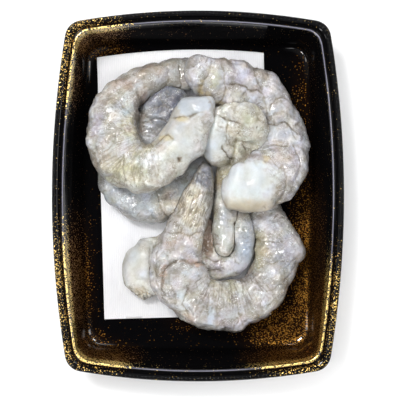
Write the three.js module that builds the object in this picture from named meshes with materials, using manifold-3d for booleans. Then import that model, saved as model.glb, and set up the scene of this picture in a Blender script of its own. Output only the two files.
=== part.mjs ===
// Six raw peeled shrimps heaped in a black foam food tray, on a thin white drip pad.
// Millimetres, +Z up. The origin is the middle of the tray's underside, and +Y is its long way.

import * as THREE from 'three';
import { mergeVertices } from 'three/addons/utils/BufferGeometryUtils.js';
import Module from 'manifold-3d';

const solids = await Module();
solids.setup();

// Tray: one thin foamed sheet, drawn into a shallow box with bowed sides
const TRAY_WIDTH = 130;
const TRAY_LENGTH = 165;
const TRAY_HEIGHT = 28;
const RIM_PLAN = { sideBow: 7.8, endBow: 6.8, corner: 8 };
const FLOOR_PLAN = { sideBow: 2.6, endBow: 2.2, corner: 7.5 };
const SHEET = 1.6;
const SIDE_STEPS = 7;
const CORNER_STEPS = 5;

// Drip pad: a sheet of absorbent paper, laid a little askew on the floor
const PAD_WIDTH = 77;
const PAD_LENGTH = 121;
const PAD_THICK = 0.5;
const PAD_CENTRE = [-6.5, 4.6];
const PAD_TURN = THREE.MathUtils.degToRad(1.6);
const PAD_END_RISE = 0.9;
const PAD_END_BOW = 2.4;
const PAD_STEPS = [8, 12];

// Pieces that touch keep this gap, and the shrimps' undersides lie flat at this height
const GAP = 0.3;
const PAD_LEVEL = SHEET + GAP;
const REST_LEVEL = PAD_LEVEL + PAD_THICK + GAP;

// Shrimp: five creases part its six rings of muscle
const CREASES = [0.2, 0.38, 0.54, 0.69, 0.83];
const CREASE_HALF_LENGTH = 0.022;
const CREASE_DEPTH = 0.09;
const SECTION_SQUARENESS = 2.3;
const RINGS = 34;
const RING_POINTS = 16;

const vectors = (rows) => rows.map((row) => new THREE.Vector3(row[0], row[1], row[2] ?? 0));

function closedMesh(name, points, faces, finish) {
  const geometry = new THREE.BufferGeometry();
  const places = points.flatMap((point) => point.toArray());
  geometry.setAttribute('position', new THREE.Float32BufferAttribute(places, 3));
  geometry.setIndex(faces.flat());
  geometry.computeVertexNormals();
  const mesh = new THREE.Mesh(geometry, new THREE.MeshStandardMaterial(finish));
  mesh.name = name;
  return mesh;
}

// Joins rings of points that all have the same count, and closes both ends on a point
function loft(rings, firstTip, lastTip) {
  const count = rings[0].length;
  const points = [firstTip, ...rings.flat(), lastTip];
  const faces = [];
  const at = (ring, i) => 1 + ring * count + (i % count);
  for (let i = 0; i < count; i += 1) {
    faces.push([0, at(0, i), at(0, i + 1)]);
    faces.push([points.length - 1, at(rings.length - 1, i + 1), at(rings.length - 1, i)]);
    for (let ring = 0; ring + 1 < rings.length; ring += 1) {
      faces.push([at(ring, i), at(ring + 1, i), at(ring + 1, i + 1)]);
      faces.push([at(ring, i), at(ring + 1, i + 1), at(ring, i + 1)]);
    }
  }
  return { points, faces };
}

// The tray's outline in plan: four wide arcs, with a small arc tangent to two of them at each corner
function trayOutline(inset, { sideBow, endBow, corner }) {
  const halfWidth = TRAY_WIDTH / 2;
  const halfLength = TRAY_LENGTH / 2;
  const sideRadius = (halfLength ** 2 + sideBow ** 2) / (2 * sideBow);
  const endRadius = (halfWidth ** 2 + endBow ** 2) / (2 * endBow);
  const sideCentre = halfWidth - sideRadius;
  const endCentre = halfLength - endRadius;
  const sideReach = sideRadius - inset - corner;
  const endReach = endRadius - inset - corner;
  const span = Math.hypot(sideCentre, endCentre);
  const along = (sideReach ** 2 - endReach ** 2 + span ** 2) / (2 * span);
  const off = Math.sqrt(sideReach ** 2 - along ** 2);
  const toEnd = new THREE.Vector2(-sideCentre, endCentre).divideScalar(span);
  const cornerX = sideCentre + toEnd.x * along - toEnd.y * off;
  const cornerY = toEnd.y * along + toEnd.x * off;
  const sideAngle = Math.atan2(cornerY, cornerX - sideCentre);
  const endAngle = Math.atan2(cornerY - endCentre, cornerX);
  const quarter = [];
  const arc = (x, y, radius, from, to, steps) => {
    for (let i = 0; i < steps; i += 1) {
      const angle = from + ((to - from) * i) / steps;
      quarter.push([x + radius * Math.cos(angle), y + radius * Math.sin(angle)]);
    }
  };
  arc(sideCentre, 0, sideRadius - inset, 0, sideAngle, SIDE_STEPS);
  arc(cornerX, cornerY, corner, sideAngle, endAngle, CORNER_STEPS);
  arc(0, endCentre, endRadius - inset, endAngle, Math.PI / 2, SIDE_STEPS);
  quarter.push([0, halfLength - inset]);
  const mirrored = quarter.slice(1, -1).reverse().map(([x, y]) => [-x, y]);
  const upper = [...quarter, ...mirrored, [-(halfWidth - inset), 0]];
  const lower = upper.slice(1, -1).reverse().map(([x, y]) => [x, -y]);
  return [...upper, ...lower];
}

// Rows of how far in from the rim's edge, how high, and in which plan, from floor to base
function trayProfile() {
  const ridge = TRAY_HEIGHT;
  const wallTop = 5.4;
  const wallFoot = 11.9;
  const floorEdge = 15.3;
  return [
    [floorEdge, SHEET, FLOOR_PLAN],
    [wallFoot + 1.9, SHEET + 0.4, FLOOR_PLAN],
    [wallFoot + 0.7, SHEET + 1.3, FLOOR_PLAN],
    [wallFoot, SHEET + 2.6, FLOOR_PLAN],
    [wallTop, ridge - 1.0, RIM_PLAN],
    [wallTop - 0.2, ridge - 0.2, RIM_PLAN],
    [wallTop - 0.6, ridge, RIM_PLAN],
    [wallTop - 1.1, ridge - 0.5, RIM_PLAN],
    [wallTop - 1.4, ridge - 1.8, RIM_PLAN],
    [3.1, ridge - 2.0, RIM_PLAN],
    [2.5, ridge - 1.2, RIM_PLAN],
    [0.8, ridge - 1.3, RIM_PLAN],
    [0, ridge - 2.6, RIM_PLAN],
    [0.2, ridge - 3.6, RIM_PLAN],
    [2.6, ridge - 3.3, RIM_PLAN],
    [wallTop - 0.8, ridge - 3.6, RIM_PLAN],
    [wallFoot - 1.4, SHEET + 1.5, FLOOR_PLAN],
    [wallFoot - 0.4, SHEET, FLOOR_PLAN],
    [wallFoot + 1.0, 0.5, FLOOR_PLAN],
    [wallFoot + 2.6, 0, FLOOR_PLAN],
  ];
}

// The tray is one moulded sheet. It is given as its floor and its four sides, parted by mitres
// through the corners, so that each piece is a simple open shape
function tray() {
  const rings = trayProfile().map(([inset, height, plan]) =>
    trayOutline(inset, plan).map(([x, y]) => new THREE.Vector3(x, y, height)));
  const body = solidOf(loft(rings, new THREE.Vector3(0, 0, SHEET), new THREE.Vector3(0, 0, 0)));
  const [sides, floor] = body.splitByPlane([0, 0, 1], SHEET + 0.1);
  const mitre = (TRAY_LENGTH - TRAY_WIDTH) / 2 / Math.SQRT2;
  const beyond = (solid, x, y, offset) => solid.trimByPlane([x / Math.SQRT2, y / Math.SQRT2, 0], offset);
  const finish = { color: 0x0b0b0d, roughness: 0.25, metalness: 0 };
  return [
    meshOf('tray_floor', floor, finish),
    meshOf('tray_right_side', beyond(beyond(sides, 1, -1, -mitre), 1, 1, -mitre), finish),
    meshOf('tray_left_side', beyond(beyond(sides, -1, -1, -mitre), -1, 1, -mitre), finish),
    meshOf('tray_back_side', beyond(beyond(sides, -1, 1, mitre), 1, 1, mitre), finish),
    meshOf('tray_front_side', beyond(beyond(sides, -1, -1, mitre), 1, -1, mitre), finish),
  ];
}

// The pad's upper end bows out and rides a little way up the curve at the tray's wall
function pad() {
  const [across, along] = PAD_STEPS;
  const points = [];
  const turned = (u, v, level) => {
    const x = (u - 0.5) * PAD_WIDTH;
    const y = (v - 0.5) * PAD_LENGTH + v ** 4 * PAD_END_BOW * (1 - (2 * u - 1) ** 2);
    const lift = Math.max(0, v - 0.93) / 0.07;
    const place = new THREE.Vector2(x, y).rotateAround(new THREE.Vector2(0, 0), PAD_TURN);
    return new THREE.Vector3(PAD_CENTRE[0] + place.x, PAD_CENTRE[1] + place.y, level + PAD_END_RISE * lift);
  };
  for (const level of [PAD_LEVEL, PAD_LEVEL + PAD_THICK]) {
    for (let j = 0; j <= along; j += 1) {
      for (let i = 0; i <= across; i += 1) points.push(turned(i / across, j / along, level));
    }
  }
  const layer = (across + 1) * (along + 1);
  const at = (i, j, top) => top * layer + j * (across + 1) + i;
  const faces = [];
  const quad = (a, b, c, d) => faces.push([a, b, c], [a, c, d]);
  for (let j = 0; j < along; j += 1) {
    for (let i = 0; i < across; i += 1) {
      quad(at(i, j, 1), at(i + 1, j, 1), at(i + 1, j + 1, 1), at(i, j + 1, 1));
      quad(at(i, j, 0), at(i, j + 1, 0), at(i + 1, j + 1, 0), at(i + 1, j, 0));
    }
    quad(at(0, j, 0), at(0, j, 1), at(0, j + 1, 1), at(0, j + 1, 0));
    quad(at(across, j, 0), at(across, j + 1, 0), at(across, j + 1, 1), at(across, j, 1));
  }
  for (let i = 0; i < across; i += 1) {
    quad(at(i, 0, 0), at(i + 1, 0, 0), at(i + 1, 0, 1), at(i, 0, 1));
    quad(at(i, along, 0), at(i, along, 1), at(i + 1, along, 1), at(i + 1, along, 0));
  }
  return closedMesh('drip_pad', points, faces, { color: 0xf4f4f4, roughness: 0.95, metalness: 0 });
}

// Each shrimp from the cut head end to the tail end: its middle line, how broad it is from
// back to belly and how thick it lies, at the same places, and how blunt its two ends are
const SHRIMPS = {
  upper_left: {
    line: [[-1.8, 44, 26], [-1.5, 38.2, 26.5], [-3.8, 30.6, 27], [-8, 22.4, 27], [-16, 15.1, 27],
      [-24.9, 12.2, 26.5], [-34, 17.1, 25], [-38.7, 29.5, 22], [-35.8, 41.2, 17.5], [-29.5, 48.5, 14],
      [-21.4, 53.5, 12], [-12.8, 55.2, 10.5], [-3.7, 55.7, 9.5], [4.1, 55, 8]],
    broad: [15.2, 18.2, 19.3, 20.1, 19.9, 21.8, 24, 23.4, 20.5, 16.2, 13.8, 13.8, 14.6, 7.3],
    thick: [10, 13.5, 16, 17.5, 18, 18.5, 19, 19, 17.5, 16, 15, 14, 12, 8],
    ends: [2.5, 5],
  },
  upper_right: {
    line: [[10.7, 5.8, 24.5], [13.8, 4.9, 24.5], [22.1, 4, 24.5], [30.6, 7.4, 23], [36.4, 13.3, 19],
      [39, 23.1, 14], [37.8, 34.8, 11.5], [33.8, 42.5, 12.5], [26.7, 48, 15], [16.6, 50.6, 18.5],
      [7.2, 52.9, 20.5], [-0.4, 54.7, 21], [-6.3, 54.3, 20.5]],
    broad: [11.6, 19.6, 23.2, 25.7, 25.6, 22.7, 16.5, 16.5, 18.3, 21.6, 18.9, 17.1, 13.5],
    thick: [12, 15.5, 17.5, 18, 18, 18, 17.5, 17.5, 17.5, 18, 18, 17, 11],
    ends: [6, 6],
  },
  coiled: {
    line: [[12, 13.5, 17], [9.2, 22, 17.5], [10.4, 29.8, 18.5], [18.2, 34.5, 18.5], [24.3, 27.5, 16],
      [19, 18.5, 12.5], [14.5, 7, 9], [12.5, -3.5, 9], [12.2, -15, 10], [12, -27.5, 12.5]],
    broad: [11, 15.5, 16.5, 18, 18, 16, 13.5, 12.5, 12, 9.5],
    thick: [11, 15, 18, 19, 18, 15, 12.5, 12.5, 12, 9],
    ends: [5, 6],
  },
  lower_front: {
    line: [[27.5, -3.2, 7], [30.2, -7.5, 8], [33.3, -14.6, 9], [36.2, -23.5, 10.3], [35.1, -31.9, 10.8],
      [31.7, -39.8, 10.8], [25.5, -45.8, 10.8], [16.4, -49.4, 11.2], [7, -49.5, 12.3], [-1.8, -45.5, 14],
      [-8.6, -36.1, 16], [-9.3, -27.3, 16.8], [-6.8, -16.9, 17], [-2.9, -7.9, 16.5], [0.9, 2, 17],
      [2.7, 10.1, 19], [2.7, 14.8, 20]],
    broad: [11.9, 15.6, 17.4, 21.6, 20.4, 20.2, 21.1, 23, 23, 23.3, 25.9, 23.4, 18, 16.8, 12.6, 8.1,
      3.6],
    thick: [9, 11, 14, 16.5, 17.5, 17.5, 17.5, 17.5, 17.5, 17.5, 17.5, 17, 15, 13.5, 12, 8.5, 5],
    ends: [4, 3],
  },
  under_left: {
    line: [[-7, 49, 9], [-13, 41.5, 10], [-19.5, 31.5, 10.3], [-29, 22, 10], [-35.3, 12.5, 9.6],
      [-33, 2.5, 9.6], [-23, -3, 9.6], [-11.5, -0.5, 9.5], [-3, 8, 9], [4.5, 17.5, 7]],
    broad: [13, 20, 22, 20, 19.5, 20, 19.5, 18, 14, 6],
    thick: [11, 13, 14, 15, 15, 15, 15, 14.5, 13, 9],
    ends: [5, 4],
  },
  under_front: {
    line: [[-34.5, -30.5, 7], [-26, -32, 8.2], [-16.5, -32, 8], [-6, -30, 7.3], [1, -27, 7.6],
      [7, -31, 7.4], [12.5, -31.8, 7.8], [18, -30.3, 9], [20.9, -24, 9.8], [20.6, -15, 9.5],
      [19.2, -6, 7.5]],
    broad: [19, 26, 27, 31, 35, 17, 11, 11, 10, 10, 6],
    thick: [8, 12, 12, 11, 11.5, 9.5, 10, 12, 13.5, 13, 9],
    ends: [6, 4],
  },
};

// The shrimps that lie on each one, or press against its side
const PRESSED_BY = {
  upper_right: [],
  upper_left: ['upper_right'],
  lower_front: ['upper_right', 'upper_left'],
  coiled: ['upper_right', 'upper_left', 'lower_front'],
  under_left: ['upper_right', 'upper_left', 'lower_front', 'coiled'],
  under_front: ['upper_right', 'lower_front', 'coiled'],
};

// One over the body's length, with an ellipse's fall to nothing over each end
function endRounding(distance, length, [head, tail]) {
  const fall = (left, reach) => (left >= reach ? 1 : Math.sqrt(1 - (1 - left / reach) ** 2));
  return fall(distance, head) * fall(length - distance, tail);
}

function creaseDepth(share) {
  const dips = CREASES.map((place) => Math.exp(-(((share - place) / CREASE_HALF_LENGTH) ** 2)));
  return CREASE_DEPTH * Math.max(...dips);
}

// Places of the rings along the body: close together over the rounded ends, evenly spaced between
function ringPlaces(length, [head, tail]) {
  const endRings = 4;
  const places = [];
  for (let i = 1; i <= endRings; i += 1) {
    places.push(head * (1 - Math.cos((Math.PI / 2) * (i / endRings))));
  }
  const between = RINGS - 2 * endRings;
  for (let i = 1; i <= between; i += 1) {
    places.push(head + ((length - head - tail) * i) / (between + 1));
  }
  for (let i = endRings; i >= 1; i -= 1) {
    places.push(length - tail * (1 - Math.cos((Math.PI / 2) * (i / endRings))));
  }
  return places;
}

// A shrimp's body as a solid, all round larger by grow. Its two halves are joined, since a tight
// curl brings them together
function flesh({ line, broad, thick, ends }, grow) {
  const middle = new THREE.CatmullRomCurve3(vectors(line), false, 'catmullrom', 0.5);
  const widths = vectors(broad.map((across, i) => [across, thick[i]]));
  const girth = new THREE.CatmullRomCurve3(widths, false, 'catmullrom', 0.5);
  middle.arcLengthDivisions = 400;
  const length = middle.getLength();
  const up = new THREE.Vector3(0, 0, 1);
  const turn = Math.sign(vectors(line).reduce((sum, p, i, all) =>
    sum + (i ? all[i - 1].x * p.y - p.x * all[i - 1].y : 0), 0)) || 1;
  const rings = ringPlaces(length, ends).map((distance) => {
    const share = distance / length;
    const place = middle.getUtoTmapping(share);
    const centre = middle.getPoint(place);
    const ahead = middle.getTangent(place);
    const side = new THREE.Vector3().crossVectors(ahead, up).normalize();
    const rise = new THREE.Vector3().crossVectors(side, ahead).normalize();
    const size = girth.getPoint(place).multiplyScalar(endRounding(distance, length, ends) / 2);
    const crease = creaseDepth(share);
    return Array.from({ length: RING_POINTS }, (_, i) => {
      const angle = (2 * Math.PI * i) / RING_POINTS;
      const round = (value) => Math.sign(value) * Math.abs(value) ** (2 / SECTION_SQUARENESS);
      const back = 0.5 + 0.5 * Math.cos(angle) * turn;
      const pinch = 1 - crease * (0.45 + 0.55 * back);
      const across = (size.x * pinch + grow) * round(Math.cos(angle));
      const high = (size.y * pinch + grow) * round(Math.sin(angle));
      const point = centre.clone().addScaledVector(side, across).addScaledVector(rise, high);
      point.z = Math.max(point.z, REST_LEVEL - grow);
      return point;
    });
  });
  const first = middle.getPoint(0).addScaledVector(middle.getTangent(0), -grow);
  const last = middle.getPoint(1).addScaledVector(middle.getTangent(1), grow);
  const half = rings.length / 2;
  const cut = average(rings[half]);
  const headHalf = loft(rings.slice(0, half + 1), first, cut);
  const tailHalf = loft(rings.slice(half), cut, last);
  return solidOf(headHalf).add(solidOf(tailHalf));
}

function average(ring) {
  return ring.reduce((sum, point) => sum.add(point), new THREE.Vector3()).divideScalar(ring.length);
}

function solidOf({ points, faces }) {
  const bare = closedMesh('', points, faces, {}).geometry;
  bare.deleteAttribute('normal');
  const merged = mergeVertices(bare, 1e-4);
  return new solids.Manifold(new solids.Mesh({
    numProp: 3,
    vertProperties: new Float32Array(merged.attributes.position.array),
    triVerts: new Uint32Array(merged.index.array),
  }));
}

function meshOf(name, solid, finish) {
  const { vertProperties, triVerts } = solid.getMesh();
  const points = [];
  for (let i = 0; i < vertProperties.length; i += 3) {
    points.push(new THREE.Vector3().fromArray(vertProperties, i));
  }
  const faces = [];
  for (let i = 0; i < triVerts.length; i += 3) faces.push([...triVerts.slice(i, i + 3)]);
  return closedMesh(name, points, faces, finish);
}

function shrimp(name) {
  let body = flesh(SHRIMPS[name], 0);
  for (const other of PRESSED_BY[name]) body = body.subtract(flesh(SHRIMPS[other], GAP));
  const parts = body.decompose();
  parts.sort((a, b) => b.volume() - a.volume());
  return meshOf(`shrimp_${name}`, parts[0], { color: 0xc6c3ba, roughness: 0.35, metalness: 0 });
}

const dish = new THREE.Group();
dish.add(...tray(), pad());
for (const name of Object.keys(SHRIMPS)) dish.add(shrimp(name));

export default dish;
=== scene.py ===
import math

import bpy
import numpy as np
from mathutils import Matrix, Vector
from mathutils.bvhtree import BVHTree


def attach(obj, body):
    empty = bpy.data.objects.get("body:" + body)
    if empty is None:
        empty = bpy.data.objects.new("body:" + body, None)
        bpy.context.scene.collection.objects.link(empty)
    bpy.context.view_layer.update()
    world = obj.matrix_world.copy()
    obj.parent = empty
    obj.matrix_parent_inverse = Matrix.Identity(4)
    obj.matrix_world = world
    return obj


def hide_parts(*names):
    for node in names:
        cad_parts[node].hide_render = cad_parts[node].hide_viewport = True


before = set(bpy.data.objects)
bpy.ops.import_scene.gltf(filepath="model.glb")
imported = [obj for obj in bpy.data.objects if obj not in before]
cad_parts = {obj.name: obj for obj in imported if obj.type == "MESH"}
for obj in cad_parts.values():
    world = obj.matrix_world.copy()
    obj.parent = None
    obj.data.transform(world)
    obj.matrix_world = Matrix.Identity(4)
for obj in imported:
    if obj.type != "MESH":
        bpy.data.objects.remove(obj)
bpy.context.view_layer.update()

# The camera looks straight down on the tray, as a shop's packshot does. The picture is as wide as
# 177.5 mm at the height of the rim, and its middle lies a little right of and before the tray's.
VIEW_WIDTH = 0.1775
VIEW_HEIGHT_OVER_RIM = 0.6
VIEW_MIDDLE = (0.0009, -0.0018)
RIM_LEVEL = 0.027
SENSOR = 36.0

camera_data = bpy.data.cameras.new("camera")
camera_data.sensor_width = SENSOR
camera_data.lens = SENSOR * VIEW_HEIGHT_OVER_RIM / VIEW_WIDTH
camera_data.clip_start = 0.01
camera = bpy.data.objects.new("camera", camera_data)
camera.location = (*VIEW_MIDDLE, RIM_LEVEL + VIEW_HEIGHT_OVER_RIM)
bpy.context.collection.objects.link(camera)
bpy.context.scene.camera = camera
bpy.context.scene.view_settings.view_transform = "Standard"

# Lamps stand round the tray: a small main one up at the back left, which sets the wet glints, a
# broad soft one overhead and paler ones on the sides, which show as thin lines on the tray's ridge.
SOFT_BOXES = {
    "main_box": dict(aim=(-0.42, 0.50, 1.25), size=(0.26, 0.26), watts=8.5),
    "top_box": dict(aim=(-0.10, 0.15, 1.50), size=(1.30, 1.30), watts=11.5),
    "right_box": dict(aim=(0.85, 0.10, 0.50), size=(0.25, 0.80), watts=3.2),
    "front_box": dict(aim=(0.05, -0.85, 0.50), size=(0.80, 0.22), watts=3.2),
    "left_box": dict(aim=(-0.85, -0.15, 0.50), size=(0.22, 0.80), watts=3.2),
    "back_box": dict(aim=(0.10, 0.85, 0.45), size=(0.80, 0.22), watts=2.8),
    "far_glint": dict(aim=(0.60, 0.62, 0.85), size=(0.20, 0.20), watts=3.0),
    "near_glint": dict(aim=(-0.62, -0.60, 0.85), size=(0.20, 0.20), watts=4.0),
    "main_glint": dict(aim=(-0.40, 0.48, 1.20), size=(0.20, 0.20), watts=6.0),
}

for name, box in SOFT_BOXES.items():
    light = bpy.data.lights.new(name, "AREA")
    light.shape = "RECTANGLE"
    light.size, light.size_y = box["size"]
    light.energy = box["watts"]
    lamp = bpy.data.objects.new(name, light)
    lamp.location = box["aim"]
    lamp.rotation_euler = Vector(box["aim"]).to_track_quat("Z", "Y").to_euler()
    lamp.visible_glossy = name != "top_box"
    lamp.visible_diffuse = "glint" not in name
    bpy.context.collection.objects.link(lamp)

world = bpy.data.worlds.new("room")
world.use_nodes = True
world.node_tree.nodes["Background"].inputs["Color"].default_value = (0.95, 0.97, 1.0, 1.0)
world.node_tree.nodes["Background"].inputs["Strength"].default_value = 0.2
bpy.context.scene.world = world


# The table is a plain pale board under the tray. It isn't part of the object.
TABLE_HALF = 1.2
TABLE_COLOUR = (0.98, 0.98, 0.98, 1.0)


def new_material(name):
    material = bpy.data.materials.new(name)
    material.use_nodes = True
    nodes = material.node_tree.nodes
    return material, nodes, material.node_tree.links, nodes["Principled BSDF"]


table_mesh = bpy.data.meshes.new("table")
table_mesh.from_pydata(
    [(x * TABLE_HALF, y * TABLE_HALF, -0.0002) for x, y in ((-1, -1), (1, -1), (1, 1), (-1, 1))],
    [], [(0, 1, 2, 3)])
table = bpy.data.objects.new("table", table_mesh)
bpy.context.collection.objects.link(table)
board, nodes, links, surface = new_material("pale_board")
surface.inputs["Base Color"].default_value = TABLE_COLOUR
surface.inputs["Roughness"].default_value = 0.9
surface.inputs["Specular IOR Level"].default_value = 0.1
table_mesh.materials.append(board)


# The tray is one sheet of black foamed plastic under a glossy film, drawn by vacuum into a shallow
# box: bowed sides, a thin ridge round the rim and a band outside it with slanting ribs pressed in.
MM = 0.001
TRAY_WIDTH = 130.0
TRAY_LENGTH = 165.0
TRAY_HEIGHT = 28.0
SHEET = 1.6
RIM_PLAN = dict(side_bow=7.8, end_bow=6.8, corner=8.0)
FLOOR_PLAN = dict(side_bow=2.6, end_bow=2.2, corner=7.5)
SIDE_STEPS = 34
CORNER_STEPS = 14
WALL_TOP = 5.4
WALL_FOOT = 11.9
FLOOR_EDGE = 15.3
RIB_PITCH = 1.8
RIB_INSET = 1.15
RIB_SIZE = (0.62, 1.5, 0.42)
RIB_SLANT = 38.0


def tray_outline(inset, side_bow, end_bow, corner):
    """The tray in plan, millimetres: wide arcs for its sides and ends, joined by small round corners."""
    half = np.array([TRAY_WIDTH, TRAY_LENGTH]) / 2
    side_radius = (half[1] ** 2 + side_bow ** 2) / (2 * side_bow)
    end_radius = (half[0] ** 2 + end_bow ** 2) / (2 * end_bow)
    side_centre, end_centre = half[0] - side_radius, half[1] - end_radius
    side_reach, end_reach = side_radius - inset - corner, end_radius - inset - corner
    span = math.hypot(side_centre, end_centre)
    along = (side_reach ** 2 - end_reach ** 2 + span ** 2) / (2 * span)
    off = math.sqrt(side_reach ** 2 - along ** 2)
    to_end = (-side_centre / span, end_centre / span)
    corner_x = side_centre + to_end[0] * along - to_end[1] * off
    corner_y = to_end[1] * along + to_end[0] * off
    side_angle = math.atan2(corner_y, corner_x - side_centre)
    end_angle = math.atan2(corner_y - end_centre, corner_x)

    def arc(x, y, radius, start, end, steps):
        angles = start + (end - start) * np.arange(steps) / steps
        return np.stack([x + radius * np.cos(angles), y + radius * np.sin(angles)], axis=1)

    quarter = np.concatenate([
        arc(side_centre, 0, side_radius - inset, 0, side_angle, SIDE_STEPS),
        arc(corner_x, corner_y, corner, side_angle, end_angle, CORNER_STEPS),
        arc(0, end_centre, end_radius - inset, end_angle, math.pi / 2, SIDE_STEPS),
        [[0, half[1] - inset]]])
    upper = np.concatenate([quarter, (quarter * (-1, 1))[-2::-1]])
    return np.concatenate([upper, (upper * (1, -1))[-2:0:-1]])


def mesh_object(name, points, faces):
    mesh = bpy.data.meshes.new(name)
    mesh.from_pydata(np.asarray(points).tolist(), [], [tuple(int(i) for i in face) for face in faces])
    mesh.validate()
    mesh.shade_smooth()
    thing = bpy.data.objects.new(name, mesh)
    bpy.context.collection.objects.link(thing)
    return thing


def loft_faces(rings, count):
    """Faces between rings of count points each, with a point before the first and after the last."""
    last = 1 + rings * count
    faces = []
    for i in range(count):
        j = (i + 1) % count
        faces.append((0, 1 + i, 1 + j))
        faces.append((last, 1 + (rings - 1) * count + j, 1 + (rings - 1) * count + i))
    for ring in range(rings - 1):
        a, b = 1 + ring * count, 1 + (ring + 1) * count
        faces += [(a + i, b + i, b + (i + 1) % count, a + (i + 1) % count) for i in range(count)]
    return faces


def rounded_profile():
    """Rows of inset, height and plan from the floor's middle, up the wall, over the rim and under."""
    ridge = TRAY_HEIGHT
    floor = [(inset, SHEET, 1.0) for inset in np.linspace(58.0, FLOOR_EDGE, 14)]
    foot = [(FLOOR_EDGE - 3.4 * math.sin(a), SHEET + 2.9 * (1 - math.cos(a)), 1.0)
            for a in np.linspace(0.15, 1.25, 7)]
    top = (WALL_TOP + 0.2, ridge - 0.9)
    wall = [(foot[-1][0] + (top[0] - foot[-1][0]) * t, foot[-1][1] + (top[1] - foot[-1][1]) * t, 1.0 - t)
            for t in np.linspace(0, 1, 16)[1:]]
    crest = [(WALL_TOP - 0.45 + 0.6 * math.cos(a), ridge - 0.6 + 0.6 * math.sin(a), 0.0)
             for a in np.radians(np.linspace(5, 175, 15))]
    groove = [(3.75 + 0.5 * math.cos(a), ridge - 1.5 + 0.6 * math.sin(a), 0.0)
              for a in np.radians(np.linspace(-10, -170, 9))]
    band = [(1.55 + 1.55 * math.cos(a), ridge - 2.6 + 1.35 * math.sin(a), 0.0)
            for a in np.radians(np.linspace(15, 175, 15))]
    edge = [(0.0, ridge - 3.1, 0.0), (0.25, ridge - 3.6, 0.0),
            (0.9, ridge - 3.75, 0.0), (2.6, ridge - 3.3, 0.0)]
    under = [(WALL_TOP - 1.3, ridge - 3.35, 0.0), (WALL_TOP - 0.5, ridge - 4.4, 0.0)]
    base = [(FLOOR_EDGE - 5.0 * math.sin(a), 4.5 * (1 - math.cos(a)), 1.0)
            for a in np.linspace(1.25, 0.0, 8)] + [(40.0, 0.0, 1.0)]
    outer = [(under[-1][0] + (base[0][0] - under[-1][0]) * t,
              under[-1][1] + (base[0][1] - under[-1][1]) * t, t)
             for t in np.linspace(0, 1, 8)[1:-1]]
    return floor + foot + wall + crest + groove + band + edge + under + outer + base


def tray_ring(inset, height, depth):
    """One ring of the tray. depth runs from the rim's plan, 0, to the floor's, 1."""
    plans = [tray_outline(min(inset, 14.0), **plan) for plan in (RIM_PLAN, FLOOR_PLAN)]
    ring = plans[0] * (1 - depth) + plans[1] * depth
    beyond = max(0.0, inset - 14.0)
    shrink = 1 - beyond / (np.array([TRAY_WIDTH, TRAY_LENGTH]) / 2 - 14.0)
    ring = ring * np.maximum(shrink, 0.02)
    return np.column_stack([ring, np.full(len(ring), height)])


tray_rings = [tray_ring(*row) for row in rounded_profile()]
tray_points = np.concatenate([[(0, 0, SHEET)], *tray_rings, [(0, 0, 0)]])
tray = mesh_object("tray_shell", tray_points * MM, loft_faces(len(tray_rings), len(tray_rings[0])))


# Where the gold speckle lies, as clouds in plan: centre, half sizes, and how dense it is there.
GOLD_CLOUDS = [
    ((-46, 75.5), (21, 8), 1.0), ((-55, 70), (11, 11), 1.15), ((-60, 54), (9, 24), 1.05),
    ((-44, 68), (16, 7), 0.8), ((-62, -42), (9, 41), 1.2), ((-56, -44), (10, 43), 0.85),
    ((-55, -68), (12, 10), 1.15), ((-44, -73.5), (22, 8), 1.1), ((-49, -66), (9, 6), 0.75),
    ((63, -50), (9, 33), 1.2), ((49, -32), (11, 62), 1.0), ((57, -52), (11, 36), 0.95),
    ((41, -61), (27, 18), 1.15), ((41, -74), (26, 9), 1.1), ((-1, -58), (18, 6), 0.4),
    ((48, 38), (7, 40), 0.4),
]


def gold_amount(points):
    """How much gold there is at points in millimetres, from 0 to 1."""
    amount = np.zeros(len(points))
    for centre, half, dense in GOLD_CLOUDS:
        reach = np.hypot(*((points[:, :2] - centre) / half).T)
        amount = np.maximum(amount, dense * np.clip(1.5 * (1 - reach), 0, 1))
    return np.clip(amount, 0, 1)


def rim_row(inset, height):
    """How dense and how bright the gold is at a row of the tray, its brightness partly painted light, and
    how strong the crest's painted pale highlight is.
    """
    if inset < 3.3:
        return 0.5, 0.4, 0.0
    if inset < WALL_TOP - 1.1:
        return 0.3, 0.0, 0.0
    crest = min(1.0, max(0.0, (height - TRAY_HEIGHT + 0.06) / 0.05))
    near_top = min(1.0, max(0.0, (height - TRAY_HEIGHT + 7.0) / 4.0))
    return 0.68 + 0.3 * near_top + 0.1 * crest, 0.82 * near_top + 0.18 * crest, crest


def gloss_amount(points):
    """The film is glossy on the ridge and the band, where it is pressed, and dull where it is drawn."""
    ridge = np.clip((points[:, 2] - TRAY_HEIGHT + 2.0) / 1.2, 0, 1)
    band = 0.25 * np.clip((points[:, 2] - TRAY_HEIGHT + 4.5) / 1.2, 0, 1)
    corner = np.clip((np.hypot(points[:, 0] / 50, points[:, 1] / 67) - 1.27) / 0.1, 0, 1)
    off_floor = np.clip((points[:, 2] - SHEET - 0.02) / 0.06, 0, 1)
    foot = corner * off_floor * np.clip((14 - points[:, 2]) / 6, 0, 1)
    return np.maximum.reduce([ridge, band, foot, 0.02 * np.clip(points[:, 2] / 10, 0, 1)])


def keep_attribute(thing, name, values):
    layer = thing.data.attributes.new(name, "FLOAT", "POINT")
    layer.data.foreach_set("value", np.asarray(values, np.float32))


def mesh_points(thing):
    found = np.empty(len(thing.data.vertices) * 3)
    thing.data.vertices.foreach_get("co", found)
    return found.reshape(-1, 3)


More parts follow.
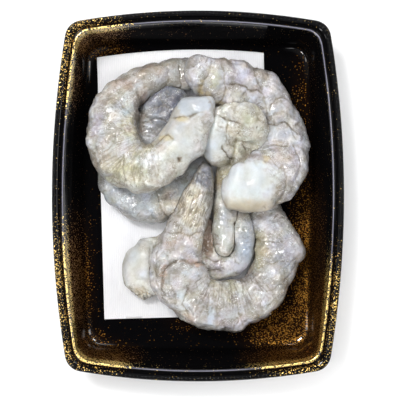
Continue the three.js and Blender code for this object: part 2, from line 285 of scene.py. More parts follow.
def speckle_group():
    """Fine flecks that crowd together where the amount is high. Puts out a mask."""
    group = bpy.data.node_groups.new("gold_flecks", "ShaderNodeTree")
    group.interface.new_socket("Amount", in_out="INPUT", socket_type="NodeSocketFloat")
    group.interface.new_socket("Fleck scale", in_out="INPUT", socket_type="NodeSocketFloat")
    group.interface.new_socket("Mask", in_out="OUTPUT", socket_type="NodeSocketFloat")
    nodes, links = group.nodes, group.links
    inputs, output = nodes.new("NodeGroupInput"), nodes.new("NodeGroupOutput")
    place = nodes.new("ShaderNodeTexCoord")
    clouds = nodes.new("ShaderNodeTexNoise")
    clouds.inputs["Scale"].default_value = 160.0
    clouds.inputs["Detail"].default_value = 2.0
    flecks = nodes.new("ShaderNodeTexNoise")
    flecks.inputs["Detail"].default_value = 0.0
    for node in (clouds, flecks):
        links.new(place.outputs["Object"], node.inputs["Vector"])
    links.new(inputs.outputs["Fleck scale"], flecks.inputs["Scale"])
    thin = nodes.new("ShaderNodeMath")
    thin.operation = "MULTIPLY_ADD"
    thin.inputs[1].default_value = 0.6
    thin.inputs[2].default_value = -0.3
    links.new(clouds.outputs["Fac"], thin.inputs[0])
    dense = nodes.new("ShaderNodeMath")
    links.new(inputs.outputs["Amount"], dense.inputs[0])
    links.new(thin.outputs[0], dense.inputs[1])
    level = nodes.new("ShaderNodeMapRange")
    level.inputs["To Min"].default_value = 0.80
    level.inputs["To Max"].default_value = 0.42
    links.new(dense.outputs[0], level.inputs["Value"])
    above = nodes.new("ShaderNodeMath")
    above.operation = "SUBTRACT"
    links.new(flecks.outputs["Fac"], above.inputs[0])
    links.new(level.outputs["Result"], above.inputs[1])
    sharp = nodes.new("ShaderNodeMath")
    sharp.operation = "MULTIPLY"
    sharp.use_clamp = True
    sharp.inputs[1].default_value = 22.0
    links.new(above.outputs[0], sharp.inputs[0])
    links.new(sharp.outputs[0], output.inputs["Mask"])
    return group


def glossy_black_film():
    material, nodes, links, surface = new_material("black_film_with_gold_speckle")
    amount = nodes.new("ShaderNodeAttribute")
    amount.attribute_name = "gold"
    flecks = nodes.new("ShaderNodeGroup")
    flecks.node_tree = speckle_group()
    flecks.inputs["Fleck scale"].default_value = 1700.0
    links.new(amount.outputs["Fac"], flecks.inputs["Amount"])
    place = nodes.new("ShaderNodeTexCoord")
    tone = nodes.new("ShaderNodeTexNoise")
    tone.inputs["Scale"].default_value = 1100.0
    tone.inputs["Detail"].default_value = 3.0
    links.new(place.outputs["Object"], tone.inputs["Vector"])
    # The gold's colour is lifted towards the rim's top, on the crest and on the ribs: partly brighter print,
    # partly painted light where the gold catches the lamps.
    high = nodes.new("ShaderNodeAttribute")
    high.attribute_name = "gilt_and_sheen"
    lifted = nodes.new("ShaderNodeMath")
    lifted.operation = "MULTIPLY_ADD"
    lifted.inputs[1].default_value = 0.75
    links.new(tone.outputs["Fac"], lifted.inputs[0])
    links.new(high.outputs["Fac"], lifted.inputs[2])
    gold = nodes.new("ShaderNodeValToRGB")
    gold.color_ramp.elements[0].position = 0.25
    gold.color_ramp.elements[0].color = (0.16, 0.052, 0.006, 1)
    middle = gold.color_ramp.elements.new(0.58)
    middle.color = (0.47, 0.25, 0.045, 1)
    gold.color_ramp.elements[2].position = 0.95
    gold.color_ramp.elements[2].color = (1.0, 0.72, 0.24, 1)
    links.new(lifted.outputs[0], gold.inputs["Fac"])
    # Along the ridge's crest the film's colour is lifted to a pale lavender line: a painted highlight.
    crest = nodes.new("ShaderNodeAttribute")
    crest.attribute_name = "crest"
    film_and_crest_highlight = nodes.new("ShaderNodeMix")
    film_and_crest_highlight.data_type = "RGBA"
    haze = nodes.new("ShaderNodeMath")
    haze.operation = "SUBTRACT"
    haze.use_clamp = True
    links.new(amount.outputs["Fac"], haze.inputs[0])
    links.new(high.outputs["Fac"], haze.inputs[1])
    hazed = nodes.new("ShaderNodeMix")
    hazed.data_type = "RGBA"
    hazed.inputs["A"].default_value = (0.0025, 0.0024, 0.0028, 1)
    hazed.inputs["B"].default_value = (0.015, 0.006, 0.002, 1)
    links.new(haze.outputs[0], hazed.inputs["Factor"])
    links.new(hazed.outputs["Result"], film_and_crest_highlight.inputs["A"])
    film_and_crest_highlight.inputs["B"].default_value = (0.20, 0.195, 0.25, 1)
    links.new(crest.outputs["Fac"], film_and_crest_highlight.inputs["Factor"])
    mixed = nodes.new("ShaderNodeMix")
    mixed.data_type = "RGBA"
    links.new(film_and_crest_highlight.outputs["Result"], mixed.inputs["A"])
    links.new(flecks.outputs["Mask"], mixed.inputs["Factor"])
    links.new(gold.outputs["Color"], mixed.inputs["B"])
    links.new(mixed.outputs["Result"], surface.inputs["Base Color"])
    links.new(flecks.outputs["Mask"], surface.inputs["Metallic"])
    rough = nodes.new("ShaderNodeMapRange")
    rough.inputs["To Min"].default_value = 0.2
    rough.inputs["To Max"].default_value = 0.42
    links.new(flecks.outputs["Mask"], rough.inputs["Value"])
    links.new(rough.outputs["Result"], surface.inputs["Roughness"])
    foam = nodes.new("ShaderNodeTexNoise")
    foam.inputs["Scale"].default_value = 260.0
    foam.inputs["Detail"].default_value = 3.0
    links.new(place.outputs["Object"], foam.inputs["Vector"])
    bump = nodes.new("ShaderNodeBump")
    bump.inputs["Strength"].default_value = 0.12
    bump.inputs["Distance"].default_value = 0.0006
    links.new(foam.outputs["Fac"], bump.inputs["Height"])
    links.new(bump.outputs["Normal"], surface.inputs["Normal"])
    surface.inputs["Specular IOR Level"].default_value = 0.0
    surface.inputs["Coat Roughness"].default_value = 0.06
    gloss = nodes.new("ShaderNodeAttribute")
    gloss.attribute_name = "gloss"
    links.new(gloss.outputs["Fac"], surface.inputs["Coat Weight"])
    return material


film = glossy_black_film()
tray.data.materials.append(film)
tray_rows = [rim_row(inset, height) for inset, height, _ in rounded_profile()]
point_rows = np.repeat(tray_rows, len(tray_rings[0]), axis=0)
share, gilt_and_sheen, crest = np.vstack([tray_rows[0], point_rows, tray_rows[-1]]).T
gold = gold_amount(mesh_points(tray) / MM)
keep_attribute(tray, "gold", gold * share)
keep_attribute(tray, "gloss", gloss_amount(mesh_points(tray) / MM))
# How far the gold's colour is lifted at each point: partly painted light.
keep_attribute(tray, "gilt_and_sheen", gilt_and_sheen)
# The crest's painted pale highlight, weaker where the gold lies.
keep_attribute(tray, "crest", crest * (1 - 0.85 * gold))
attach(tray, "root")
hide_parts("tray_floor", "tray_left_side", "tray_right_side", "tray_front_side", "tray_back_side")


# The ribs on the rim's outer band are pressed in with the tray: short slanting ridges, all alike,
# that give the band its rope-like look and the outline its fine scallops.
def rim_rib():
    """One rib: a low pillow, longer than it is wide, that stands on its own middle."""
    steps, sides = 5, 8
    points, rings = [(0, 0, RIB_SIZE[2])], []
    for ring in range(1, steps + 1):
        polar = math.pi / 2 * ring / steps
        for side in range(sides):
            angle = 2 * math.pi * side / sides
            points.append((RIB_SIZE[0] * math.sin(polar) * math.cos(angle),
                           RIB_SIZE[1] * math.sin(polar) * math.sin(angle),
                           RIB_SIZE[2] * math.cos(polar)))
    points.append((0, 0, -0.1))
    return mesh_object("rib", np.array(points) * MM, loft_faces(steps, sides))


def rib_tree(rib, material):
    """Geometry Nodes: sets ribs along a closed line, slanted to it, and joins them to one mesh."""
    tree = bpy.data.node_groups.new("ribs_along_the_rim", "GeometryNodeTree")
    tree.interface.new_socket("Geometry", in_out="INPUT", socket_type="NodeSocketGeometry")
    tree.interface.new_socket("Pitch", in_out="INPUT", socket_type="NodeSocketFloat")
    tree.interface.new_socket("Slant", in_out="INPUT", socket_type="NodeSocketFloat")
    tree.interface.new_socket("Geometry", in_out="OUTPUT", socket_type="NodeSocketGeometry")
    nodes, links = tree.nodes, tree.links
    inputs, output = nodes.new("NodeGroupInput"), nodes.new("NodeGroupOutput")
    line = nodes.new("GeometryNodeMeshToCurve")
    spaced = nodes.new("GeometryNodeCurveToPoints")
    spaced.mode = "LENGTH"
    model = nodes.new("GeometryNodeObjectInfo")
    model.inputs["Object"].default_value = rib
    placed = nodes.new("GeometryNodeInstanceOnPoints")
    turn = nodes.new("GeometryNodeRotateInstances")
    joined = nodes.new("GeometryNodeRealizeInstances")
    finish = nodes.new("GeometryNodeSetMaterial")
    finish.inputs["Material"].default_value = material
    heading = nodes.new("FunctionNodeAlignRotationToVector")
    heading.axis = "Y"
    heading.pivot_axis = "Z"
    angles = nodes.new("ShaderNodeCombineXYZ")
    links.new(inputs.outputs["Geometry"], line.inputs["Mesh"])
    links.new(line.outputs["Curve"], spaced.inputs["Curve"])
    links.new(inputs.outputs["Pitch"], spaced.inputs["Length"])
    links.new(spaced.outputs["Points"], placed.inputs["Points"])
    links.new(spaced.outputs["Tangent"], heading.inputs["Vector"])
    links.new(heading.outputs["Rotation"], placed.inputs["Rotation"])
    links.new(model.outputs["Geometry"], placed.inputs["Instance"])
    links.new(placed.outputs["Instances"], turn.inputs["Instances"])
    links.new(inputs.outputs["Slant"], angles.inputs["Z"])
    links.new(angles.outputs["Vector"], turn.inputs["Rotation"])
    links.new(turn.outputs["Instances"], joined.inputs["Geometry"])
    links.new(joined.outputs["Geometry"], finish.inputs["Geometry"])
    links.new(finish.outputs["Geometry"], output.inputs["Geometry"])
    return tree


def baked(thing, name):
    """The thing's evaluated shape as a plain mesh object of that name. The thing is removed."""
    graph = bpy.context.evaluated_depsgraph_get()
    mesh = bpy.data.meshes.new_from_object(thing.evaluated_get(graph), depsgraph=graph)
    bpy.data.objects.remove(thing)
    mesh.name = name
    plain = bpy.data.objects.new(name, mesh)
    bpy.context.collection.objects.link(plain)
    return plain


def set_input(modifier, name, value):
    """Sets a modifier's input by its socket's identifier."""
    for item in modifier.node_group.interface.items_tree:
        if item.item_type == "SOCKET" and item.in_out == "INPUT" and item.name == name:
            modifier[item.identifier] = value


def ribs_on_the_rim():
    outline = tray_outline(RIB_INSET, **RIM_PLAN)
    count = len(outline)
    length = np.hypot(*(np.roll(outline, -1, 0) - outline).T).sum()
    points = np.column_stack([outline, np.full(count, TRAY_HEIGHT - 1.35)])
    line = bpy.data.meshes.new("rib_line")
    line.from_pydata((points * MM).tolist(), [(i, (i + 1) % count) for i in range(count)], [])
    carrier = bpy.data.objects.new("rib_line", line)
    bpy.context.collection.objects.link(carrier)
    rib = rim_rib()
    modifier = carrier.modifiers.new("ribs", "NODES")
    modifier.node_group = rib_tree(rib, film)
    set_input(modifier, "Pitch", length / round(length / RIB_PITCH) * MM)
    set_input(modifier, "Slant", math.radians(RIB_SLANT))
    ribs = baked(carrier, "rim_ribs")
    bpy.data.objects.remove(rib)
    return ribs


rim_ribs = ribs_on_the_rim()
rim_ribs.data.shade_smooth()
keep_attribute(rim_ribs, "gold", 0.55 * gold_amount(mesh_points(rim_ribs) / MM))
keep_attribute(rim_ribs, "gloss", np.full(len(rim_ribs.data.vertices), 0.25))
# The ribs' gold is lifted too: partly painted light.
keep_attribute(rim_ribs, "gilt_and_sheen", np.full(len(rim_ribs.data.vertices), 0.5))
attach(rim_ribs, "root")


# The drip pad is a sheet of white absorbent paper, embossed with fine stripes along its length. It
# lies loose on the tray's floor, a little askew, and its far end bows up the curve at the wall.
PAD_SIZE = (77.0, 121.0)
PAD_THICK = 0.5
PAD_LEVEL = SHEET + 0.3
PAD_CENTRE = (-6.5, 4.6)
PAD_TURN = math.radians(1.6)
PAD_END_BOW = 2.4
PAD_END_RISE = 0.9
STRIPE_PITCH = 0.87
STRIPE_DEPTH = 0.14
PAD_STEPS = (440, 110)


def waves(points, size, seed, count=26):
    """Smooth random waviness about size long, between about -2 and 2."""
    draw = np.random.default_rng(seed)
    ways = draw.normal(size=(count, 3))
    ways /= np.linalg.norm(ways, axis=1)[:, None]
    ways *= (2 * math.pi / size * draw.uniform(0.7, 1.35, count))[:, None]
    return np.cos(points @ ways.T + draw.uniform(0, 2 * math.pi, count)).sum(axis=1) / math.sqrt(count / 2)


def drip_pad():
    across, along = PAD_STEPS
    u, v = np.meshgrid(np.linspace(0, 1, across + 1), np.linspace(0, 1, along + 1))
    x = (u - 0.5) * PAD_SIZE[0]
    y = (v - 0.5) * PAD_SIZE[1] + v ** 4 * PAD_END_BOW * (1 - (2 * u - 1) ** 2)
    cos, sin = math.cos(PAD_TURN), math.sin(PAD_TURN)
    plan = np.stack([PAD_CENTRE[0] + x * cos - y * sin, PAD_CENTRE[1] + x * sin + y * cos], axis=-1)
    rise = PAD_END_RISE * np.clip((v - 0.93) / 0.07, 0, 1)
    flat = np.column_stack([plan.reshape(-1, 2), np.zeros(u.size)])
    lumps = 0.10 * waves(flat, 17.0, 5).reshape(u.shape)
    edge = np.minimum.reduce([u * PAD_SIZE[0], (1 - u) * PAD_SIZE[0],
                              v * PAD_SIZE[1], (1 - v) * PAD_SIZE[1]])
    pressed = np.clip(edge / 0.8, 0.35, 1)
    stripes = STRIPE_DEPTH * (0.5 + 0.5 * np.cos(2 * math.pi * x / STRIPE_PITCH))
    dots = 0.03 * np.cos(2 * math.pi * y / 1.3 + 1.7 * np.round(x / STRIPE_PITCH))
    top = PAD_LEVEL + rise + PAD_THICK * pressed - 0.1 + np.clip(lumps, -0.1, 0.1)
    top = top + (dots - stripes) * pressed
    low = PAD_LEVEL + rise + 0 * u
    layers = [np.column_stack([plan.reshape(-1, 2), height.ravel()]) for height in (low, top)]
    size, row = u.size, across + 1
    faces = []
    for j in range(along):
        for i in range(across):
            a = j * row + i
            faces.append((size + a, size + a + 1, size + a + row + 1, size + a + row))
            faces.append((a, a + row, a + row + 1, a + 1))
    border = ([(0, i) for i in range(across)] + [(j, across) for j in range(along)]
              + [(along, i) for i in range(across, 0, -1)] + [(j, 0) for j in range(along, 0, -1)])
    rim = [j * row + i for j, i in border]
    faces += [(a, b, size + b, size + a) for a, b in zip(rim, rim[1:] + rim[:1])]
    paper = mesh_object("paper_pad", np.concatenate(layers) * MM, faces)
    # How deep the embossed groove is at each point. The paper's colour is darker there as painted shade.
    grooves = (stripes / STRIPE_DEPTH * pressed).ravel()
    keep_attribute(paper, "groove", np.concatenate([np.zeros(u.size), grooves]))
    return paper


def embossed_paper():
    material, nodes, links, surface = new_material("embossed_white_paper")
    place = nodes.new("ShaderNodeTexCoord")
    fibre = nodes.new("ShaderNodeTexNoise")
    fibre.inputs["Scale"].default_value = 2600.0
    fibre.inputs["Detail"].default_value = 4.0
    damp = nodes.new("ShaderNodeTexNoise")
    damp.inputs["Scale"].default_value = 45.0
    damp.inputs["Detail"].default_value = 3.0
    for node in (fibre, damp):
        links.new(place.outputs["Object"], node.inputs["Vector"])
    tone = nodes.new("ShaderNodeValToRGB")
    tone.color_ramp.elements[0].position = 0.3
    tone.color_ramp.elements[0].color = (0.88, 0.88, 0.91, 1)
    tone.color_ramp.elements[1].position = 0.62
    tone.color_ramp.elements[1].color = (0.965, 0.965, 0.975, 1)
    links.new(damp.outputs["Fac"], tone.inputs["Fac"])
    # The grooves are darkened in the colour as well as pressed in: painted shade.
    groove = nodes.new("ShaderNodeAttribute")
    groove.attribute_name = "groove"
    shade = nodes.new("ShaderNodeMath")
    shade.operation = "MULTIPLY"
    shade.inputs[1].default_value = 0.2
    links.new(groove.outputs["Fac"], shade.inputs[0])
    striped = nodes.new("ShaderNodeMix")
    striped.data_type = "RGBA"
    striped.inputs["B"].default_value = (0.66, 0.67, 0.71, 1)
    links.new(shade.outputs[0], striped.inputs["Factor"])
    links.new(tone.outputs["Color"], striped.inputs["A"])
    links.new(striped.outputs["Result"], surface.inputs["Base Color"])
    bump = nodes.new("ShaderNodeBump")
    bump.inputs["Strength"].default_value = 0.35
    bump.inputs["Distance"].default_value = 0.0002
    links.new(fibre.outputs["Fac"], bump.inputs["Height"])
    links.new(bump.outputs["Normal"], surface.inputs["Normal"])
    surface.inputs["Roughness"].default_value = 0.9
    surface.inputs["Specular IOR Level"].default_value = 0.25
    return material


pad = drip_pad()
pad.data.materials.append(embossed_paper())
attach(pad, "root")
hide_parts("drip_pad")


# The uppermost shrimp lies at the right, back outwards. It is one raw muscle in six rings, cut off
# behind the head; peeling has left creases between the rings and a slit along the back.
REST_LEVEL = PAD_LEVEL + PAD_THICK + 0.3
GAP = 0.3
RING_STEP = 0.6
ROUND_STEPS = 96
SQUARENESS = 2.3
CREASES = (0.2, 0.38, 0.54, 0.69, 0.83)
VOXEL = 0.35

TINTS = {
    "white": (0.565, 0.585, 0.59), "cream": (0.57, 0.54, 0.43), "beige": (0.50, 0.43, 0.32),
    "brown": (0.27, 0.185, 0.135), "olive": (0.40, 0.38, 0.20), "yellow": (0.58, 0.44, 0.15),
    "orange": (0.38, 0.19, 0.08), "blue": (0.46, 0.51, 0.57), "lilac": (0.43, 0.40, 0.485),
    "grey": (0.22, 0.225, 0.25), "pink": (0.56, 0.44, 0.39), "umber": (0.10, 0.065, 0.035),
    "straw": (0.62, 0.54, 0.36), "slate": (0.13, 0.14, 0.18),
}
# The tints shade and light only make the flesh's colour darker or lighter in given places: painted shade and
# painted light.
SHADES = {"shade": -0.3, "light": 0.3}
PALE_PLATES = (1.10, 1.115, 1.13)
GREY_PLATES = (0.80, 0.79, 0.74)
WARM_TINGE = (0.022, 0.0, -0.035)
GREEN_TINGE = (-0.006, 0.01, -0.006)
# How much darker, in each colour, the flesh is painted in its hollows: painted shade.
HOLLOW_SHADE = (0.26, 0.32, 0.46)

# Marks on the flesh are pixels of the 400-pixel picture, and their sizes too: the picture's middle,
# its millimetres for each pixel at the rim, and the camera's height and place in millimetres.
PICTURE_MIDDLE = 200
PIXEL = 0.4437
CAMERA_HEIGHT = 627
CAMERA_OVER_RIM = 600
CAMERA_PLACE = (0.9, -1.8)


def spot(marks, level):
    """Plan millimetres of pixels of the picture, for a surface at that height."""
    scale = PIXEL * (CAMERA_HEIGHT - level) / CAMERA_OVER_RIM
    return (np.asarray(marks, float) - PICTURE_MIDDLE) * (scale, -scale) + CAMERA_PLACE


def mark_reach(plan, centre, size, level):
    """How far plan points are from a round or oval mark's middle: 1 on its edge."""
    return np.linalg.norm((plan - spot(centre, level)) / (np.array(size) * PIXEL), axis=1)


def through(rows, places):
    """A smooth curve through rows of numbers. places count from 0 at the first row."""
    rows = np.asarray(rows, float)
    padded = np.concatenate([[2 * rows[0] - rows[1]], rows, [2 * rows[-1] - rows[-2]]])
    step = np.clip(np.floor(places).astype(int), 0, len(rows) - 2)
    t = (places - step)[:, None]
    a, b, c, d = (padded[step + k] for k in range(4))
    return 0.5 * (2 * b + (c - a) * t + (2 * a - 5 * b + 4 * c - d) * t ** 2
                  + (3 * b - a - 3 * c + d) * t ** 3)


def body_rings(line, broad, thick, ends):
    """The body's rings before any relief, with how far along and how far round each point is."""
    fine = np.linspace(0, len(line) - 1, 2000)
    middle = through(line, fine)
    run = np.concatenate([[0], np.cumsum(np.linalg.norm(np.diff(middle, axis=0), axis=1))])
    length = run[-1]
    curve = [reach * (1 - np.cos(np.linspace(0, math.pi / 2, 12)[1:-1])) for reach in ends]
    straight = np.linspace(ends[0], length - ends[1], int((length - sum(ends)) / RING_STEP))
    distance = np.concatenate([curve[0], straight, (length - curve[1])[::-1]])
    place = np.interp(distance, run, fine)
    centre = through(line, place)
    ahead = through(line, place + 0.01) - through(line, place - 0.01)
    ahead /= np.linalg.norm(ahead, axis=1)[:, None]
    side = np.cross(ahead, (0, 0, 1))
    side /= np.linalg.norm(side, axis=1)[:, None]
    rise = np.cross(side, ahead)

    def fall(left, reach):
        return np.sqrt(1 - (1 - np.clip(left / reach, 0, 1)) ** 2)

    ending = fall(distance, ends[0]) * fall(length - distance, ends[1])
    half = through(np.column_stack([broad, thick]), place) / 2 * ending[:, None]
    angle = 2 * math.pi * np.arange(ROUND_STEPS) / ROUND_STEPS
    wide = np.sign(np.cos(angle)) * np.abs(np.cos(angle)) ** (2 / SQUARENESS)
    high = np.sign(np.sin(angle)) * np.abs(np.sin(angle)) ** (2 / SQUARENESS)
    points = (centre[:, None] + side[:, None] * (half[:, :1] * wide)[..., None]
              + rise[:, None] * (half[:, 1:] * high)[..., None])
    return points, centre, distance / length, angle


def bend_side(line):
    """1 where the back is on the sweep's right, -1 where it is on its left."""
    line = np.asarray(line, float)
    return np.sign(np.sum(line[:-1, 0] * line[1:, 1] - line[1:, 0] * line[:-1, 1])) or 1.0


def raw_body(name, line, broad, thick, ends, seed):
    """A shrimp's body with soft dips between its rings of muscle, as one clean closed mesh."""
    points, centre, share, angle = body_rings(line, broad, thick, ends)
    rings, count = points.shape[:2]
    outward = points - centre[:, None]
    reach = np.linalg.norm(outward, axis=2, keepdims=True)
    outward = outward / np.maximum(reach, 1e-6)
    back = 0.5 + 0.5 * np.cos(angle)[None, :] * bend_side(line)
    flat = points.reshape(-1, 3)
    drift = 0.012 * waves(flat, 14.0, seed).reshape(rings, count)
    slant = 0.018 * np.sin(angle)[None, :] * bend_side(line)
    along = share[:, None] + drift + slant
    dips = np.max([np.exp(-((along - crease) / 0.02) ** 2) for crease in CREASES], axis=0)
    middle_share = np.clip(np.minimum(share, 1 - share) / 0.06, 0, 1)[:, None]
    size = np.clip(reach[..., 0] / 8.0, 0.25, 1.2)
    relief = -0.8 * dips * (0.35 + 0.65 * back) * middle_share
    relief = relief + 0.3 * waves(flat, 10.0, seed + 4).reshape(rings, count)
    points = points + outward * (relief * size)[..., None]
    tips = through(line, np.array([0.0, len(line) - 1.0]))
    every = np.concatenate([tips[:1], points.reshape(-1, 3), tips[1:]])
    body = mesh_object(name, every * MM, loft_faces(rings, count))
    remesh = body.modifiers.new("clean", "REMESH")
    remesh.mode = "VOXEL"
    remesh.voxel_size = VOXEL * MM
    smooth = body.modifiers.new("smooth", "SMOOTH")
    smooth.factor = 0.5
    smooth.iterations = 3
    return baked(body, name)


def settle(body):
    """Lays the underside flat on the pad."""
    points = mesh_points(body)
    points[:, 2] = np.maximum(points[:, 2], REST_LEVEL * MM)
    body.data.vertices.foreach_set("co", points.ravel())
    body.data.update()


def press_in(body, others):
    """Moves the body's surface out of the pieces that lie on it, as soft flesh gives way."""
    points = mesh_points(body)
    for other in others:
        graph = bpy.context.evaluated_depsgraph_get()
        tree = BVHTree.FromObject(other, graph)
        low, high = mesh_points(other).min(0) - 0.001, mesh_points(other).max(0) + 0.001
        for i in np.nonzero(np.all((points > low) & (points < high), axis=1))[0]:
            met, normal, _, far = tree.find_nearest(Vector(points[i]), 0.016)
            if met is None:
                continue
            inside = (Vector(points[i]) - met).dot(normal) < 0
            if inside and normal.z > 0.25:
                below = tree.ray_cast(Vector(points[i]), Vector((0, 0, -1)))
                met, normal = (below[0], below[1]) if below[0] is not None else (met, normal)
            if inside or far < GAP * MM:
                points[i] = met + normal * GAP * MM
    body.data.vertices.foreach_set("co", points.ravel())
    body.data.update()


def mesh_normals(thing):
    found = np.empty(len(thing.data.vertices) * 3)
    thing.data.vertex_normals.foreach_get("vector", found)
    return found.reshape(-1, 3)


def stroke_distance(plan, stroke):
    """How far each plan point is from a stroke, and how far along it, from 0 to 1."""
    best, place = np.full(len(plan), 1e9), np.zeros(len(plan))
    lengths = np.linalg.norm(np.diff(stroke, axis=0), axis=1)
    before = np.concatenate([[0], np.cumsum(lengths)]) / lengths.sum()
    for a, b, start, end in zip(stroke[:-1], stroke[1:], before[:-1], before[1:]):
        way = b - a
        t = np.clip(((plan - a) @ way) / (way @ way), 0, 1)
        far = np.linalg.norm(plan - a - t[:, None] * way, axis=1)
        nearer = far < best
        best[nearer] = far[nearer]
        place[nearer] = (start + (end - start) * t)[nearer]
    return best, place


def beside_line(plan, line):
    """How far along the body's middle line each plan point is, and how far to its left."""
    middle = through(line, np.linspace(0, len(line) - 1, 6 * len(line)))[:, :2]
    off, place = stroke_distance(plan, middle)
    steps = np.diff(middle, axis=0)
    run = np.concatenate([[0], np.cumsum(np.linalg.norm(steps, axis=1))])
    at = np.clip(np.searchsorted(run, place * run[-1]) - 1, 0, len(steps) - 1)
    apart = plan - middle[at]
    left = np.sign(steps[at, 0] * apart[:, 1] - steps[at, 1] * apart[:, 0])
    return place * run[-1], off * left


def small_nicks(line, broad, seed, count):
    """Short wrinkles strewn over the back, most of them across the body. Depth, width, shade, stroke."""
    draw = np.random.default_rng(seed)
    strokes = []
    for place in draw.uniform(0.3, len(line) - 1.3, count):
        here, ahead = through(line, np.array([place, place + 0.05]))[:, :2]
        heading = math.atan2(*(ahead - here)[::-1])
        heading = heading + math.pi / 2 * (draw.random() < 0.7) + draw.normal(0, 0.3)
        wide = through(np.array(broad)[:, None], np.array([place]))[0, 0]
        off = math.atan2(*(ahead - here)[::-1]) + math.pi / 2
        middle = here + 0.27 * wide * draw.normal() * np.array([math.cos(off), math.sin(off)])
        step = draw.uniform(0.7, 2.4) * np.array([math.cos(heading), math.sin(heading)])
        bend = draw.normal(0, 0.4, 2)
        strokes.append((draw.uniform(0.15, 0.45), draw.uniform(0.28, 0.4), draw.uniform(0.2, 0.55),
                        [middle - step, middle + bend, middle + step]))
    return strokes


def hollows(body, points, normals, rounds=14):
    """How far each point lies below the body's own smoothed surface, in millimetres."""
    ends = np.empty(2 * len(body.data.edges), int)
    body.data.edges.foreach_get("vertices", ends)
    a, b = ends[::2], ends[1::2]
    joined = np.bincount(ends, minlength=len(points))
    smooth = points.copy()
    for _ in range(rounds):
        smooth = np.column_stack([np.bincount(a, smooth[b, axis], len(points)) +
                                  np.bincount(b, smooth[a, axis], len(points)) for axis in range(3)])
        smooth /= joined[:, None]
    below = ((smooth - points) * normals).sum(axis=1)
    return below - np.median(below)


